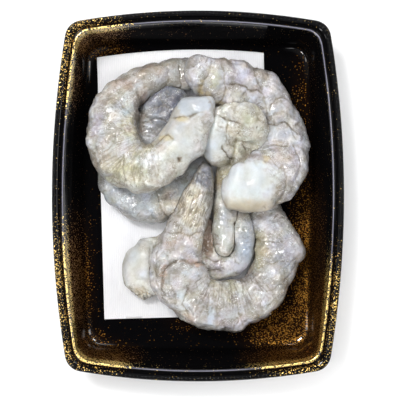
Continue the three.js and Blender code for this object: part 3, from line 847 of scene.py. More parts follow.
def finish_skin(body, line, broad, seed, level, base, creases, tints, fibres=(), swells=(), rags=(),
                nicks=26, lumps=0.07, grain=0.04):
    """Cuts the creases into the upper side, roughens the skin and stores the colours of the flesh."""
    points = mesh_points(body) / MM
    normals = mesh_normals(body)
    plan = points[:, :2]
    up = np.clip((normals[:, 2] + 0.35) / 0.5, 0, 1)
    wobble = 0.22 * np.column_stack([waves(points, 6.0, seed + 50), waves(points, 6.0, seed + 51)])
    wobble += 0.09 * np.column_stack([waves(points, 1.6, seed + 52), waves(points, 1.6, seed + 53)])
    plates = waves(points, 10.0, seed + 95) + 0.35 * waves(points, 3.0, seed + 96)
    folds = waves(points, 6.0, seed + 101) + 0.35 * waves(points, 2.2, seed + 102)
    zone = np.clip(0.5 + 3.0 * plates, 0, 1)[:, None]
    warm = waves(points, 6.5, seed + 105)[:, None]
    green = waves(points, 7.0, seed + 107)[:, None]
    tone = np.array(base, float) * (GREY_PLATES * (1 - zone) + PALE_PLATES * zone)
    calm = np.zeros(len(points))
    edge = 0.16 * waves(points, 6.0, seed + 60) + 0.13 * waves(points, 2.2, seed + 61)
    for tint, centre, size, strength, *more in sorted(tints, key=lambda tint: tint[0] != "calm"):
        reach = mark_reach(plan, centre, size, level)
        reach += edge * min(1.0, 12 / max(size))
        steep = more[0] if more else 1.3
        weight = strength * np.clip((1.15 - reach) * steep, 0, 1) ** 1.2 * np.clip(up * 1.5, 0, 1)
        if tint == "calm":
            calm = np.maximum(calm, weight)
            even = np.array(base, float)
            tone = tone + (even - tone) * 0.7 * weight[:, None]
        # Painted shade and painted light: the colour is only made darker or lighter.
        elif tint in SHADES:
            tone = tone * (1 + SHADES[tint] * weight[:, None])
        else:
            tone = tone * (1 - weight[:, None]) + np.array(TINTS[tint]) * weight[:, None]
    tinged = warm * WARM_TINGE + green * GREEN_TINGE
    tone = tone * (1 + tinged * (1 - 0.6 * calm[:, None]))
    broken = np.clip(0.8 + 0.35 * waves(points, 3.0, seed + 54), 0.25, 1.2)
    wrinkled = (1 - calm) * up
    edges = np.exp(-(plates / 0.09) ** 2)
    edges = edges * np.clip(0.3 + 0.7 * waves(points, 7.0, seed + 99), 0, 1) * wrinkled
    lines = np.exp(-(folds / 0.11) ** 2) * np.clip(0.8 * waves(points, 8.0, seed + 103), 0, 1) * wrinkled
    dip, dark = np.maximum(0.3 * edges, 0.22 * lines), np.maximum(0.45 * edges, 0.4 * lines)
    cuts = [(depth, width, shade, spot(stroke, level), 2.1) for depth, width, shade, stroke in creases]
    cuts += [(*nick, 0.7) for nick in small_nicks(line, broad, seed + 97, nicks)]
    for depth, width, shade, stroke, spread in cuts:
        own = 1.0 if spread > 1 else 1 - calm
        track = through(stroke, np.linspace(0, len(stroke) - 1, 5 * len(stroke)))
        near = np.all((plan > track.min(0) - 5) & (plan < track.max(0) + 5), axis=1)
        far, place = np.full(len(plan), 1e3), np.zeros(len(plan))
        far[near], place[near] = stroke_distance((plan + wobble)[near], track)
        taper = np.clip(np.minimum(place, 1 - place) * 5 + 0.2, 0, 1) * up
        sharp = np.exp(-(far / (0.8 * width)) ** 1.5)
        soft = np.exp(-(far / spread) ** 2)
        dip = np.maximum(dip, depth * own * taper * (0.45 * sharp + 0.55 * soft))
        dark = np.maximum(dark, shade * own * taper * (sharp * broken + 0.12 * soft))
    rough = lumps * waves(points, 3.4, seed) + 0.5 * lumps * waves(points, 1.8, seed + 1)
    rough += grain * waves(points, 0.95, seed + 2, 40)
    swell = np.zeros(len(points))
    for height, centre, size in swells:
        reach = mark_reach(plan, centre, size, level)
        swell += height * np.exp(-reach ** 2)
    for height, centre, size in rags:
        reach = mark_reach(plan, centre, size, level)
        swell += height * np.exp(-reach ** 2) * np.clip(0.5 + waves(points, 1.4, seed + 93, 40), 0, 1.6)
    strands = np.zeros(len(points))
    run, off = beside_line(plan, line)
    for way, centre, size, depth, shade in fibres:
        reach = mark_reach(plan, centre, size, level) + edge
        weight = np.clip((1.1 - reach) * 2.5, 0, 1) * up
        places = (run / 9, off, points[:, 2]) if way == "along" else (run, off / 9, points[:, 2] / 9)
        thread = np.clip(0.5 + 0.6 * waves(np.column_stack(places), 0.9, seed + 70, 40), 0, 1)
        rough -= depth * weight * thread
        strands = np.maximum(strands, shade * weight * thread ** 2)
    moved = points + normals * (swell + rough * (1 - 0.8 * calm) - dip)[:, None]
    moved[:, 2] = np.maximum(moved[:, 2], REST_LEVEL)
    body.data.vertices.foreach_set("co", (moved * MM).ravel())
    body.data.update()
    # Hollows get a darker, yellower colour and raised parts a paler one: painted shade in the hollows,
    # painted light on the raised parts.
    sunk = hollows(body, moved, normals)
    painted_hollow_shade = np.clip(sunk / 0.35, 0, 1)[:, None] * up[:, None]
    proud_painted_light = np.clip(-sunk / 0.3, 0, 1)[:, None]
    tone = tone * (1 - painted_hollow_shade * HOLLOW_SHADE) * (1 + 0.14 * proud_painted_light)
    layer = body.data.attributes.new("tone", "FLOAT_COLOR", "POINT")
    layer.data.foreach_set("color", np.column_stack([tone, np.ones(len(points))]).astype(np.float32).ravel())
    keep_attribute(body, "crease", np.clip(np.maximum(dark, strands), 0, 1))
    strewn = np.clip(0.45 + 0.55 * waves(points, 6.0, seed + 98), 0, 1)
    keep_attribute(body, "calm", calm)
    # Where the colour gets fine dark flecks and white dots. The white dots are painted glints.
    keep_attribute(body, "specks_and_glints", (1 - 0.6 * zone[:, 0]) * (1 - calm) * strewn)
    # Steep sides get a darker warm brown colour: painted shade, together with some of the brown film the
    # flesh has at its edges.
    side = np.exp(-((normals[:, 2] - 0.05) / 0.3) ** 2)
    keep_attribute(body, "rind_and_side_shade", side * np.clip(0.55 + 0.4 * waves(points, 7.0, seed + 94), 0.1, 1))
    layer = body.data.attributes.new("grainway", "FLOAT_VECTOR", "POINT")
    ways = np.column_stack([run, off, points[:, 2]]) * MM
    layer.data.foreach_set("vector", ways.astype(np.float32).ravel())
    # Paler and greyer patches at random, and greyer in the dips of the creases: the greying in the dips is
    # painted shade.
    pillow = 0.5 + 0.24 * waves(points, 9.0, seed + 80) + 0.16 * waves(points, 4.0, seed + 81) - 0.3 * dip
    keep_attribute(body, "pillow", np.clip(pillow, 0, 1))


def flesh_material(name):
    """Wet raw muscle: whiter and greyer parts marbled together under a thin film of water."""
    material, nodes, links, surface = new_material(name)
    place = nodes.new("ShaderNodeTexCoord")

    def stored(name, output="Fac"):
        node = nodes.new("ShaderNodeAttribute")
        node.attribute_name = name
        return node.outputs[output]

    def noise(scale, detail, roughness=0.5):
        node = nodes.new("ShaderNodeTexNoise")
        node.inputs["Scale"].default_value = scale
        node.inputs["Detail"].default_value = detail
        node.inputs["Roughness"].default_value = roughness
        links.new(place.outputs["Object"], node.inputs["Vector"])
        return node.outputs["Fac"]

    def ranged(value, low, high, to_low, to_high):
        node = nodes.new("ShaderNodeMapRange")
        for name, number in (("From Min", low), ("From Max", high), ("To Min", to_low), ("To Max", to_high)):
            node.inputs[name].default_value = number
        links.new(value, node.inputs["Value"])
        return node.outputs["Result"]

    def blend(factor, first, second):
        node = nodes.new("ShaderNodeMix")
        node.data_type = "RGBA"
        for name, value in (("Factor", factor), ("A", first), ("B", second)):
            if isinstance(value, (tuple, float)):
                node.inputs[name].default_value = value
            else:
                links.new(value, node.inputs[name])
        return node.outputs["Result"]

    def bump(height, strength, distance, under=None):
        node = nodes.new("ShaderNodeBump")
        node.inputs["Distance"].default_value = distance
        links.new(strength, node.inputs["Strength"])
        links.new(height, node.inputs["Height"])
        if under is not None:
            links.new(under, node.inputs["Normal"])
        return node.outputs["Normal"]

    def weighed(first, share, second):
        node = nodes.new("ShaderNodeMix")
        node.inputs["Factor"].default_value = share
        links.new(first, node.inputs["A"])
        links.new(second, node.inputs["B"])
        return node.outputs["Result"]

    tone, crease, calm = stored("tone", "Color"), stored("crease"), stored("calm")
    tinge = nodes.new("ShaderNodeVectorMath")
    tinge.operation = "MULTIPLY"
    tinge.inputs[1].default_value = (0.73, 0.71, 0.66)
    links.new(tone, tinge.inputs[0])
    lifted = nodes.new("ShaderNodeVectorMath")
    lifted.operation = "MULTIPLY"
    lifted.inputs[1].default_value = (1.28, 1.33, 1.38)
    links.new(tone, lifted.inputs[0])
    # A greyer and a paler copy of the tone are marbled together. The marbling also greys the dips as painted
    # shade.
    veined = ranged(noise(620.0, 6.0, 0.75), 0.36, 0.64, 0.0, 1.0)
    marbling = weighed(veined, 0.5, stored("pillow"))
    evened = blend(ranged(calm, 0.0, 1.0, 0.0, 0.7), marbling, (0.6, 0.6, 0.6, 1))
    marbled = blend(evened, tinge.outputs["Vector"], lifted.outputs["Vector"])
    # White dots in the colour stand in for glints on the wet film: painted highlights. The dark dots are
    # fine brown flecks in the flesh.
    dots = noise(1900.0, 1.0)
    pale = ranged(dots, 0.59, 0.66, 0.0, 0.6)
    links.new(ranged(stored("specks_and_glints"), 0.0, 1.0, 0.0, 0.65), pale.node.inputs["To Max"])
    dark = ranged(dots, 0.40, 0.30, 0.0, 0.4)
    links.new(ranged(stored("specks_and_glints"), 0.0, 1.0, 0.0, 0.45), dark.node.inputs["To Max"])
    flecked = blend(dark, blend(pale, marbled, (0.90, 0.91, 0.93, 1)), (0.21, 0.17, 0.13, 1))
    across = nodes.new("ShaderNodeVectorMath")
    across.operation = "MULTIPLY"
    across.inputs[1].default_value = (1.0, 0.22, 0.22)
    links.new(stored("grainway", "Vector"), across.inputs[0])
    streak = noise(1500.0, 4.0, 0.6)
    links.new(across.outputs["Vector"], streak.node.inputs["Vector"])
    streaks = ranged(streak, 0.54, 0.70, 0.0, 0.4)
    links.new(ranged(calm, 0.0, 1.0, 0.4, 0.05), streaks.node.inputs["To Max"])
    streaked = blend(streaks, flecked, (0.27, 0.24, 0.20, 1))
    # Darker warm brown on the steep sides: painted shade, partly the brown film at the edges.
    side_shaded = blend(ranged(stored("rind_and_side_shade"), 0.0, 1.0, 0.0, 0.5), streaked, (0.22, 0.165, 0.12, 1))
    links.new(blend(crease, side_shaded, (0.085, 0.06, 0.04, 1)), surface.inputs["Base Color"])
    grain = bump(noise(1500.0, 4.0, 0.6), ranged(calm, 0.0, 1.0, 0.5, 0.08), 0.0004)
    beads = bump(noise(1500.0, 0.0), ranged(calm, 0.0, 1.0, 0.52, 0.03), 0.0004)
    film = bump(noise(700.0, 1.0, 0.4), ranged(calm, 0.0, 1.0, 0.62, 0.12), 0.0006, beads)
    links.new(grain, surface.inputs["Normal"])
    links.new(film, surface.inputs["Coat Normal"])
    surface.inputs["Roughness"].default_value = 0.4
    surface.inputs["IOR"].default_value = 1.36
    surface.inputs["Subsurface Weight"].default_value = 0.45
    surface.inputs["Subsurface Radius"].default_value = (1.0, 0.88, 0.75)
    surface.inputs["Subsurface Scale"].default_value = 0.0007
    links.new(ranged(calm, 0.0, 0.8, 0.85, 0.06), surface.inputs["Coat Weight"])
    surface.inputs["Coat Roughness"].default_value = 0.07
    surface.inputs["Coat IOR"].default_value = 1.75
    return material


flesh = flesh_material("wet_raw_flesh")
bodies = {}


def lay_shrimp(name, shape, skin, under=()):
    body = raw_body(f"flesh_{name}", **shape)
    settle(body)
    press_in(body, [bodies[other] for other in under])
    finish_skin(body, shape["line"], shape["broad"], shape["seed"], **skin)
    body.data.shade_smooth()
    body.data.materials.clear()
    body.data.materials.append(flesh)
    bodies[name] = body
    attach(body, "root")
    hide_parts(f"shrimp_{name}")


lay_shrimp(
    "upper_right",
    dict(line=[[10.7, 5.8, 24.5], [13.8, 4.9, 24.5], [22.1, 4.0, 24.5], [30.6, 7.4, 23], [36.4, 13.3, 19],
               [39.0, 23.1, 14], [37.8, 34.8, 11.5], [33.8, 42.5, 12.5], [26.7, 48.0, 15],
               [16.6, 50.6, 18.5], [7.2, 52.9, 20.5], [-0.4, 54.7, 21], [-6.3, 54.3, 20.5]],
         broad=[11.6, 19.6, 23.2, 25.7, 25.6, 22.7, 16.5, 16.5, 18.3, 21.6, 18.9, 17.1, 13.5],
         thick=[12, 15.5, 17.5, 18, 18, 18, 17.5, 17.5, 17.5, 18, 18, 17, 11], ends=(6, 6), seed=11),
    dict(level=28, base=(0.435, 0.418, 0.432),
         swells=[(1.9, (213, 101), (12, 6)), (0.8, (204, 90), (5, 8)), (1.4, (272, 74), (10, 8))],
         rags=[(1.0, (222, 167), (5, 9))],
         creases=[
             (0.9, 0.5, 0.3, [(212, 56), (210, 72), (203, 83), (199, 94)]),
             (0.9, 0.5, 0.3, [(221, 58), (224, 72), (226, 84), (223, 96), (217, 106)]),
             (1.3, 0.5, 1.0, [(226, 85), (236, 84), (246, 86), (250, 90), (258, 90), (264, 95)]),
             (0.8, 0.5, 0.4, [(254, 60), (257, 76), (263, 92)]),
             (0.6, 0.5, 0.2, [(246, 88), (245, 98), (249, 110)]),
             (0.7, 0.5, 0.2, [(263, 93), (266, 104), (268, 118)]),
             (0.8, 0.4, 0.4, [(270, 112), (273, 103), (281, 97), (294, 98)]),
             (0.4, 0.3, 0.2, [(281, 100), (287, 106), (289, 114), (287, 120)]),
             (1.1, 0.4, 0.8, [(266, 124), (276, 123), (287, 121), (294, 128), (300, 134)]),
             (0.8, 0.4, 0.4, [(288, 118), (291, 126), (298, 140)]),
             (0.9, 0.4, 0.5, [(266, 143), (276, 144), (284, 145), (295, 146)]),
             (0.7, 0.4, 0.4, [(291, 140), (297, 150), (301, 166), (297, 182)]),
             (0.8, 0.45, 0.4, [(284, 165), (286, 178), (286, 190), (281, 200), (272, 210)]),
             (0.6, 0.45, 0.3, [(267, 152), (272, 160), (278, 166), (287, 168)]),
         ],
         tints=[
             ("brown", (225, 60), (15, 5), 0.35), ("brown", (246, 63), (16, 5), 0.45),
             ("brown", (264, 73), (11, 6), 0.4), ("lilac", (240, 75), (15, 10), 0.6),
             ("lilac", (275, 88), (12, 11), 0.4), ("lilac", (297, 155), (8, 22), 0.4),
             ("yellow", (201, 88), (4, 8), 0.5), ("yellow", (208, 93), (6, 6), 0.35),
             ("yellow", (221, 101), (7, 4), 0.35), ("olive", (214, 78), (7, 14), 0.5),
             ("cream", (234, 97), (12, 8), 0.5), ("blue", (280, 133), (15, 9), 0.3),
             ("pink", (281, 157), (15, 12), 0.35), ("beige", (250, 205), (28, 10), 0.55),
             ("beige", (276, 188), (8, 16), 0.4), ("umber", (251, 156), (12, 4), 0.6),
             ("cream", (240, 202), (30, 14), 0.6), ("beige", (248, 207), (28, 9), 0.8),
             ("white", (247, 180), (32, 22), 0.9, 2.4), ("calm", (243, 186), (34, 34), 1.0, 3),
             ("calm", (281, 133), (17, 10), 0.45), ("calm", (217, 80), (8, 17), 0.35),
             ("calm", (240, 75), (13, 8), 0.3), ("yellow", (266, 158), (4, 6), 0.35),
             ("shade", (218, 80), (6, 17), 0.45), ("shade", (241, 74), (12, 9), 0.45),
             ("light", (275, 90), (11, 11), 0.45), ("shade", (282, 133), (14, 9), 0.55),
             ("light", (285, 168), (10, 18), 0.35), ("shade", (248, 180), (17, 13), 0.2),
             ("shade", (248, 204), (17, 6), 0.5), ("light", (242, 97), (12, 7), 0.2),
         ]))


# The upper left shrimp is curled into a ring, cut end inwards. Its back has kept a brown film on
# the outer edge; its belly, towards the ring's hole, is ragged and pinkish brown.
lay_shrimp(
    "upper_left",
    dict(line=[[-1.8, 44.0, 26], [-1.5, 38.2, 26.5], [-3.8, 30.6, 27], [-8.0, 22.4, 27], [-16.0, 15.1, 27],
               [-24.9, 12.2, 26.5], [-34.0, 17.1, 25], [-38.7, 29.5, 22], [-35.8, 41.2, 17.5],
               [-29.5, 48.5, 14], [-21.4, 53.5, 12], [-12.8, 55.2, 10.5], [-3.7, 55.7, 9.5], [4.1, 55.0, 8]],
         broad=[15.2, 18.2, 19.3, 20.1, 19.9, 21.8, 24.0, 23.4, 20.5, 16.2, 13.8, 13.8, 14.6, 7.3],
         thick=[10, 13.5, 16, 17.5, 18, 18.5, 19, 19, 17.5, 16, 15, 14, 12, 8], ends=(2.5, 5), seed=22),
    dict(level=29, base=(0.445, 0.425, 0.405),
         swells=[(1.3, (210, 103), (6, 7)), (0.9, (181, 94), (7, 5)), (0.8, (203, 150), (6, 10))],
         fibres=[("across", (122, 150), (38, 42), 0.12, 0.3), ("along", (115, 100), (20, 14), 0.1, 0.25)],
         creases=[
             (0.5, 1.6, 0.6, [(150, 91), (143, 97), (139, 107), (137, 118), (138, 129), (142, 138),
                              (148, 146)]),
             (0.9, 0.5, 0.5, [(170, 119), (180, 117), (189, 117), (200, 113)]),
             (0.6, 0.45, 0.4, [(145, 131), (150, 141), (155, 148)]),
             (0.4, 0.35, 0.25, [(150, 146), (154, 165), (160, 190)]),
             (0.7, 0.45, 0.5, [(155, 148), (160, 139), (168, 136), (175, 141)]),
             (0.6, 0.45, 0.2, [(95, 168), (103, 155), (112, 146), (116, 130)]),
             (0.35, 0.3, 0.35, [(118, 150), (116, 165), (118, 182)]),
             (0.35, 0.3, 0.35, [(125, 150), (124, 168), (127, 186)]),
             (0.35, 0.3, 0.35, [(132, 152), (132, 170), (136, 190)]),
             (0.35, 0.3, 0.3, [(140, 155), (142, 172), (146, 192)]),
             (0.9, 0.5, 0.3, [(103, 97), (112, 96), (120, 100), (127, 110)]),
             (0.5, 0.4, 0.3, [(113, 92), (124, 84), (140, 78), (150, 70)]),
             (0.7, 0.5, 0.5, [(137, 84), (139, 98), (137, 114)]),
             (0.8, 0.45, 0.5, [(178, 58), (180, 72), (180, 84), (178, 94)]),
             (0.5, 0.4, 0.2, [(166, 60), (168, 75), (165, 90)]),
             (0.5, 0.4, 0.2, [(86, 118), (98, 118), (108, 122)]),
             (0.6, 0.4, 0.2, [(85, 137), (97, 136), (106, 140), (113, 148)]),
             (0.9, 0.9, 0.8, [(179, 157), (180, 160), (181, 164)]),
         ],
         tints=[
             ("brown", (150, 67), (28, 8), 0.55), ("brown", (122, 82), (17, 9), 0.65),
             ("brown", (173, 63), (9, 6), 0.4), ("brown", (139, 100), (6, 20), 0.5),
             ("brown", (143, 127), (5, 9), 0.5), ("blue", (127, 107), (9, 11), 0.6),
             ("pink", (145, 104), (4, 16), 0.8), ("umber", (146, 122), (4, 9), 0.7),
             ("lilac", (96, 122), (9, 22), 0.55), ("olive", (128, 129), (11, 11), 0.5),
             ("olive", (145, 150), (11, 12), 0.5), ("olive", (130, 171), (20, 15), 0.4),
             ("cream", (172, 160), (23, 24), 0.45), ("white", (180, 148), (22, 30), 0.5),
             ("cream", (132, 184), (36, 12), 0.55), ("olive", (122, 168), (22, 14), 0.3),
             ("beige", (103, 160), (9, 14), 0.4), ("calm", (195, 104), (18, 14), 1.0, 3),
             ("blue", (194, 104), (17, 13), 0.65, 3), ("calm", (180, 130), (28, 45), 0.9),
             ("yellow", (181, 119), (9, 3), 0.4), ("yellow", (164, 138), (9, 4), 0.35),
             ("brown", (180, 161), (3, 4), 0.8), ("brown", (103, 101), (8, 5), 0.5),
             ("white", (123, 104), (8, 7), 0.5), ("olive", (131, 120), (6, 5), 0.5),
             ("brown", (103, 157), (8, 8), 0.4), ("shade", (190, 104), (18, 12), 0.5),
             ("shade", (112, 162), (15, 15), 0.3), ("shade", (140, 76), (28, 8), 0.2),
             ("pink", (129, 128), (7, 4), 0.5), ("olive", (124, 166), (14, 9), 0.45),
             ("blue", (148, 160), (12, 7), 0.5), ("umber", (141, 120), (4, 20), 0.8),
             ("brown", (146, 138), (5, 8), 0.5),
         ]),
    ["upper_right"])


# The front shrimp is the largest, bent to a U with its back to the front. A torn flap of skin has
# left an orange-brown crack on its left limb; its tail runs up the middle, long-fibred, tip grey.
lay_shrimp(
    "lower_front",
    dict(line=[[27.5, -3.2, 7], [30.2, -7.5, 8], [33.3, -14.6, 9], [36.2, -23.5, 10.3], [35.1, -31.9, 10.8],
               [31.7, -39.8, 10.8], [25.5, -45.8, 10.8], [16.4, -49.4, 11.2], [7.0, -49.5, 12.3],
               [-1.8, -45.5, 14], [-8.6, -36.1, 16], [-9.3, -27.3, 16.8], [-6.8, -16.9, 17],
               [-2.9, -7.9, 16.5], [0.9, 2.0, 17], [2.7, 10.1, 19], [2.7, 14.8, 20]],
         broad=[11.9, 15.6, 17.4, 21.6, 20.4, 20.2, 21.1, 23.0, 23.0, 23.3, 25.9, 23.4, 18.0, 16.8, 12.6,
                8.1, 3.6],
         thick=[9, 11, 14, 16.5, 17.5, 17.5, 17.5, 17.5, 17.5, 17.5, 17.5, 17, 15, 13.5, 12, 8.5, 5],
         ends=(4, 3), seed=33),
    dict(level=21, base=(0.40, 0.38, 0.375), lumps=0.09,
         swells=[(2.2, (300, 253), (8, 9)), (-1.1, (292, 287), (8, 9)), (0.9, (197, 319), (9, 7)),
                 (0.9, (233, 329), (12, 6)), (1.0, (264, 316), (8, 7)), (0.8, (262, 222), (10, 6))],
         fibres=[("along", (193, 203), (22, 34), 0.16, 0.55), ("across", (232, 290), (40, 22), 0.25, 0.4)],
         creases=[
             (0.8, 0.45, 0.4, [(162, 231), (174, 232), (184, 234), (193, 234), (205, 231)]),
             (1.4, 0.8, 1.0, [(180, 260), (170, 264), (164, 270), (163, 277)]),
             (0.8, 0.5, 0.6, [(163, 276), (161, 288), (165, 298)]),
             (0.9, 0.45, 0.7, [(178, 260), (188, 262), (200, 263), (207, 262)]),
             (0.8, 0.45, 0.4, [(190, 284), (187, 294), (183, 304), (188, 317)]),
             (0.6, 0.45, 0.3, [(208, 290), (209, 302), (207, 318)]),
             (0.7, 0.45, 0.3, [(216, 310), (222, 320), (227, 332)]),
             (0.6, 0.4, 0.5, [(213, 277), (214, 288), (213, 298)]),
             (0.6, 0.4, 0.5, [(222, 279), (223, 291)]),
             (0.6, 0.4, 0.5, [(231, 279), (232, 292), (231, 302)]),
             (0.6, 0.4, 0.5, [(241, 279), (243, 293)]),
             (0.6, 0.4, 0.4, [(251, 272), (259, 285)]),
             (0.6, 0.4, 0.4, [(252, 240), (262, 241), (275, 243), (289, 240)]),
             (0.7, 0.4, 0.3, [(262, 264), (275, 263), (288, 262), (300, 257)]),
             (0.8, 0.4, 0.4, [(264, 292), (274, 289), (283, 284), (292, 279)]),
             (0.7, 0.4, 0.3, [(250, 300), (256, 312), (263, 324)]),
             (0.5, 0.4, 0.3, [(238, 305), (240, 318), (244, 330)]),
             (0.5, 0.4, 0.3, [(194, 320), (203, 310), (208, 302)]),
             (0.5, 0.4, 0.4, [(163, 236), (158, 252), (155, 270), (158, 288), (166, 304)]),
         ],
         tints=[
             ("straw", (190, 207), (17, 32), 0.5), ("beige", (184, 214), (6, 16), 0.3),
             ("pink", (176, 245), (20, 12), 0.2), ("orange", (165, 271), (4, 8), 0.5),
             # The umber and shade tints at the narrow gap by the left limb are painted shade.
             ("umber", (207, 234), (4, 15), 0.8), ("shade", (207, 234), (4, 15), 0.6),
             ("beige", (196, 243), (10, 10), 0.5), ("orange", (190, 261), (13, 3), 0.4),
             ("olive", (230, 288), (25, 11), 0.3), ("olive", (259, 250), (12, 22), 0.75),
             ("blue", (286, 252), (14, 30), 0.35), ("beige", (260, 248), (11, 20), 0.3),
             ("lilac", (286, 250), (14, 17), 0.5), ("lilac", (268, 222), (20, 9), 0.3),
             ("lilac", (235, 324), (32, 8), 0.35), ("white", (185, 298), (9, 11), 0.25),
             ("white", (276, 271), (10, 9), 0.25), ("grey", (204, 176), (10, 13), 0.9),
             ("slate", (203, 176), (9, 13), 0.7), ("brown", (173, 241), (9, 6), 0.5),
             ("lilac", (189, 250), (9, 13), 0.45), ("blue", (190, 273), (8, 6), 0.6),
             ("white", (183, 299), (6, 12), 0.8, 3), ("calm", (183, 299), (5, 11), 0.6),
             ("blue", (211, 316), (5, 12), 0.7), ("calm", (211, 316), (5, 12), 0.7),
             ("pink", (190, 318), (9, 6), 0.5), ("olive", (214, 283), (4, 11), 0.5),
             ("olive", (231, 288), (4, 12), 0.5), ("white", (240, 285), (4, 10), 0.4),
             ("brown", (163, 281), (3, 10), 0.85), ("orange", (200, 264), (7, 3), 0.6),
             ("shade", (180, 248), (16, 9), 0.2), ("shade", (215, 310), (28, 12), 0.35),
             ("shade", (276, 254), (16, 24), 0.8), ("shade", (258, 248), (9, 16), 0.5),
             # The light tint at (267, 213) and the white one at (262, 222) lift the flesh where the right
             # shrimp's cut end shades it: painted light.
             ("light", (267, 213), (15, 11), 1.3), ("shade", (205, 179), (8, 9), 0.8),
             ("light", (228, 290), (17, 9), 0.2), ("grey", (286, 264), (13, 16), 0.6, 1),
             ("white", (262, 222), (14, 8), 0.35), ("white", (225, 288), (30, 9), 0.25),
             ("brown", (262, 250), (9, 16), 0.2),
         ]),
    ["upper_right", "upper_left"])


# A small shrimp is coiled tightly inside the right one. Its smooth bluish cut end is at the left,
# and its tail comes out lower down, pale, with a dark groove where the hook lies against it.
lay_shrimp(
    "coiled",
    dict(line=[[12, 13.5, 17], [9.2, 22, 17.5], [10.4, 29.8, 18.5], [18.2, 34.5, 18.5], [24.3, 27.5, 16],
               [19, 18.5, 12.5], [14.5, 7, 9], [12.5, -3.5, 9], [12.2, -15, 10], [12, -27.5, 12.5]],
         broad=[11, 15.5, 16.5, 18, 18, 16, 13.5, 12.5, 12, 9.5],
         thick=[11, 15, 18, 19, 18, 15, 12.5, 12.5, 12, 9], ends=(5, 6), seed=44),
    dict(level=22, base=(0.46, 0.44, 0.39), swells=[(1.4, (216, 113), (7, 7)), (0.9, (211, 136), (7, 20))],
         creases=[
             (0.9, 0.4, 0.9, [(218, 116), (226, 120), (233, 122), (242, 124)]),
             (1.0, 0.4, 0.9, [(222, 145), (224, 151), (228, 156), (233, 163)]),
             (0.9, 0.4, 0.8, [(240, 144), (244, 150), (249, 156)]),
             (0.6, 0.4, 0.4, [(228, 122), (226, 132), (229, 142), (237, 148)]),
             (0.7, 0.45, 0.8, [(236, 218), (237, 235), (235, 246), (229, 253)]),
         ],
         tints=[
             ("olive", (250, 118), (13, 10), 0.35), ("olive", (240, 152), (11, 7), 0.35),
             ("umber", (246, 156), (12, 5), 0.45), ("brown", (216, 172), (9, 22), 0.55),
             ("olive", (223, 176), (10, 20), 0.4), ("beige", (234, 133), (9, 13), 0.25),
             ("white", (214, 140), (13, 27), 0.75, 2), ("blue", (211, 145), (8, 20), 0.35),
             ("calm", (214, 145), (13, 27), 0.9), ("shade", (250, 121), (12, 10), 0.35),
             ("light", (213, 138), (6, 18), 0.35), ("light", (231, 135), (9, 10), 0.2),
             ("lilac", (225, 212), (12, 18), 0.3), ("calm", (225, 228), (11, 24), 0.45),
             ("blue", (225, 225), (12, 26), 0.3), ("white", (227, 238), (8, 12), 0.25),
         ]),
    ["upper_right", "upper_left", "lower_front"])


# A grey, more translucent shrimp lies under the left ones. It shows below the ring, smooth, and
# again as purplish lumps in the ring's hole.
lay_shrimp(
    "under_left",
    dict(line=[[-7, 49, 9], [-13, 41.5, 10], [-19.5, 31.5, 10.3], [-29, 22, 10], [-35.3, 12.5, 9.6],
               [-33, 2.5, 9.6], [-23, -3, 9.6], [-11.5, -0.5, 9.5], [-3, 8, 9], [4.5, 17.5, 7]],
         broad=[13, 20, 22, 20, 19.5, 20, 19.5, 18, 14, 6],
         thick=[11, 13, 14, 15, 15, 15, 15, 14.5, 13, 9], ends=(5, 4), seed=55),
    dict(level=15, base=(0.36, 0.36, 0.36), lumps=0.04,
         creases=[
             (0.9, 0.5, 0.8, [(157, 190), (160, 205), (166, 216), (171, 226)]),
             (0.4, 0.4, 0.3, [(110, 205), (125, 215), (142, 220), (158, 218)]),
             (0.8, 0.5, 0.4, [(146, 112), (158, 106), (172, 108)]),
             (0.8, 0.5, 0.4, [(142, 124), (156, 119), (170, 124)]),
             (0.6, 0.4, 0.4, [(160, 92), (163, 106), (158, 118)]),
         ],
         tints=[
             ("blue", (132, 200), (30, 22), 0.5), ("grey", (180, 194), (18, 30), 0.15),
             # The slate tints and the strong shade tint darken the lumps in the ring's hole: painted shade.
             ("slate", (160, 112), (30, 34), 0.7), ("slate", (167, 98), (17, 15), 1.0, 3),
             ("lilac", (168, 103), (9, 7), 0.25), ("umber", (142, 122), (6, 18), 0.85),
             ("beige", (170, 206), (14, 18), 0.7), ("white", (170, 208), (6, 3), 0.4),
             ("shade", (132, 203), (20, 13), 0.45), ("light", (176, 197), (12, 11), 0.4),
             ("shade", (168, 100), (14, 13), 1.7),
         ]),
    ["upper_right", "upper_left", "lower_front", "coiled"])


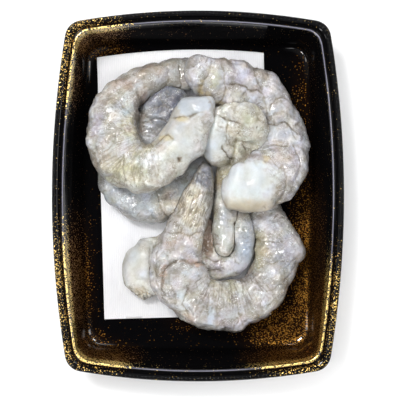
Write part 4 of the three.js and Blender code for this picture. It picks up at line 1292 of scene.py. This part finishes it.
# The lowest shrimp crosses under the front one. Its flat cream cut end shows at the left, pinkish
# lumps in the middle, and its thin lavender tail hooks round the coiled one's at the right.
lay_shrimp(
    "under_front",
    dict(line=[[-34.5, -30.5, 7], [-26, -32, 8.2], [-16.5, -32, 8], [-6, -30, 7.3], [1, -27, 7.6],
               [7, -31, 7.4], [12.5, -31.8, 7.8], [18, -30.3, 9], [20.9, -24, 9.8], [20.6, -15, 9.5],
               [19.2, -6, 7.5]],
         broad=[19, 26, 27, 31, 35, 17, 11, 11, 10, 10, 6],
         thick=[8, 12, 12, 11, 11.5, 9.5, 10, 12, 13.5, 13, 9], ends=(6, 4), seed=66),
    dict(level=13, base=(0.55, 0.53, 0.495), lumps=0.05,
         swells=[(-1.6, (130, 242), (8, 6))], rags=[(1.2, (143, 297), (9, 5))],
         creases=[
             (0.5, 0.4, 0.3, [(152, 240), (150, 255), (151, 275), (156, 293)]),
             (0.5, 0.4, 0.3, [(157, 238), (155, 255), (156, 275), (161, 293)]),
             (0.8, 0.5, 0.5, [(205, 256), (214, 262), (223, 258)]),
             (0.8, 0.5, 0.5, [(204, 268), (214, 272), (223, 270)]),
         ],
         tints=[
             ("white", (138, 264), (15, 28), 0.4, 1.5), ("calm", (135, 264), (24, 32), 0.9),
             # Where this shrimp shows in the deep gap under the front one it is brownish, and the brown,
             # umber, shade and orange tints there darken it further: painted shade.
             ("beige", (140, 291), (14, 6), 0.5), ("brown", (206, 236), (9, 24), 1.0, 3),
             ("umber", (206, 234), (8, 22), 0.45, 3), ("lilac", (214, 266), (12, 10), 0.6),
             ("brown", (214, 266), (12, 10), 0.3), ("blue", (246, 250), (13, 34), 0.8, 2),
             ("slate", (246, 250), (13, 34), 0.3, 2), ("lilac", (236, 268), (20, 10), 0.6),
             ("calm", (246, 250), (13, 36), 0.5), ("shade", (245, 243), (8, 20), 0.4),
             ("shade", (206, 236), (6, 17), 0.4), ("orange", (206, 236), (6, 17), 0.12),
         ]),
    ["upper_right", "lower_front", "coiled"])
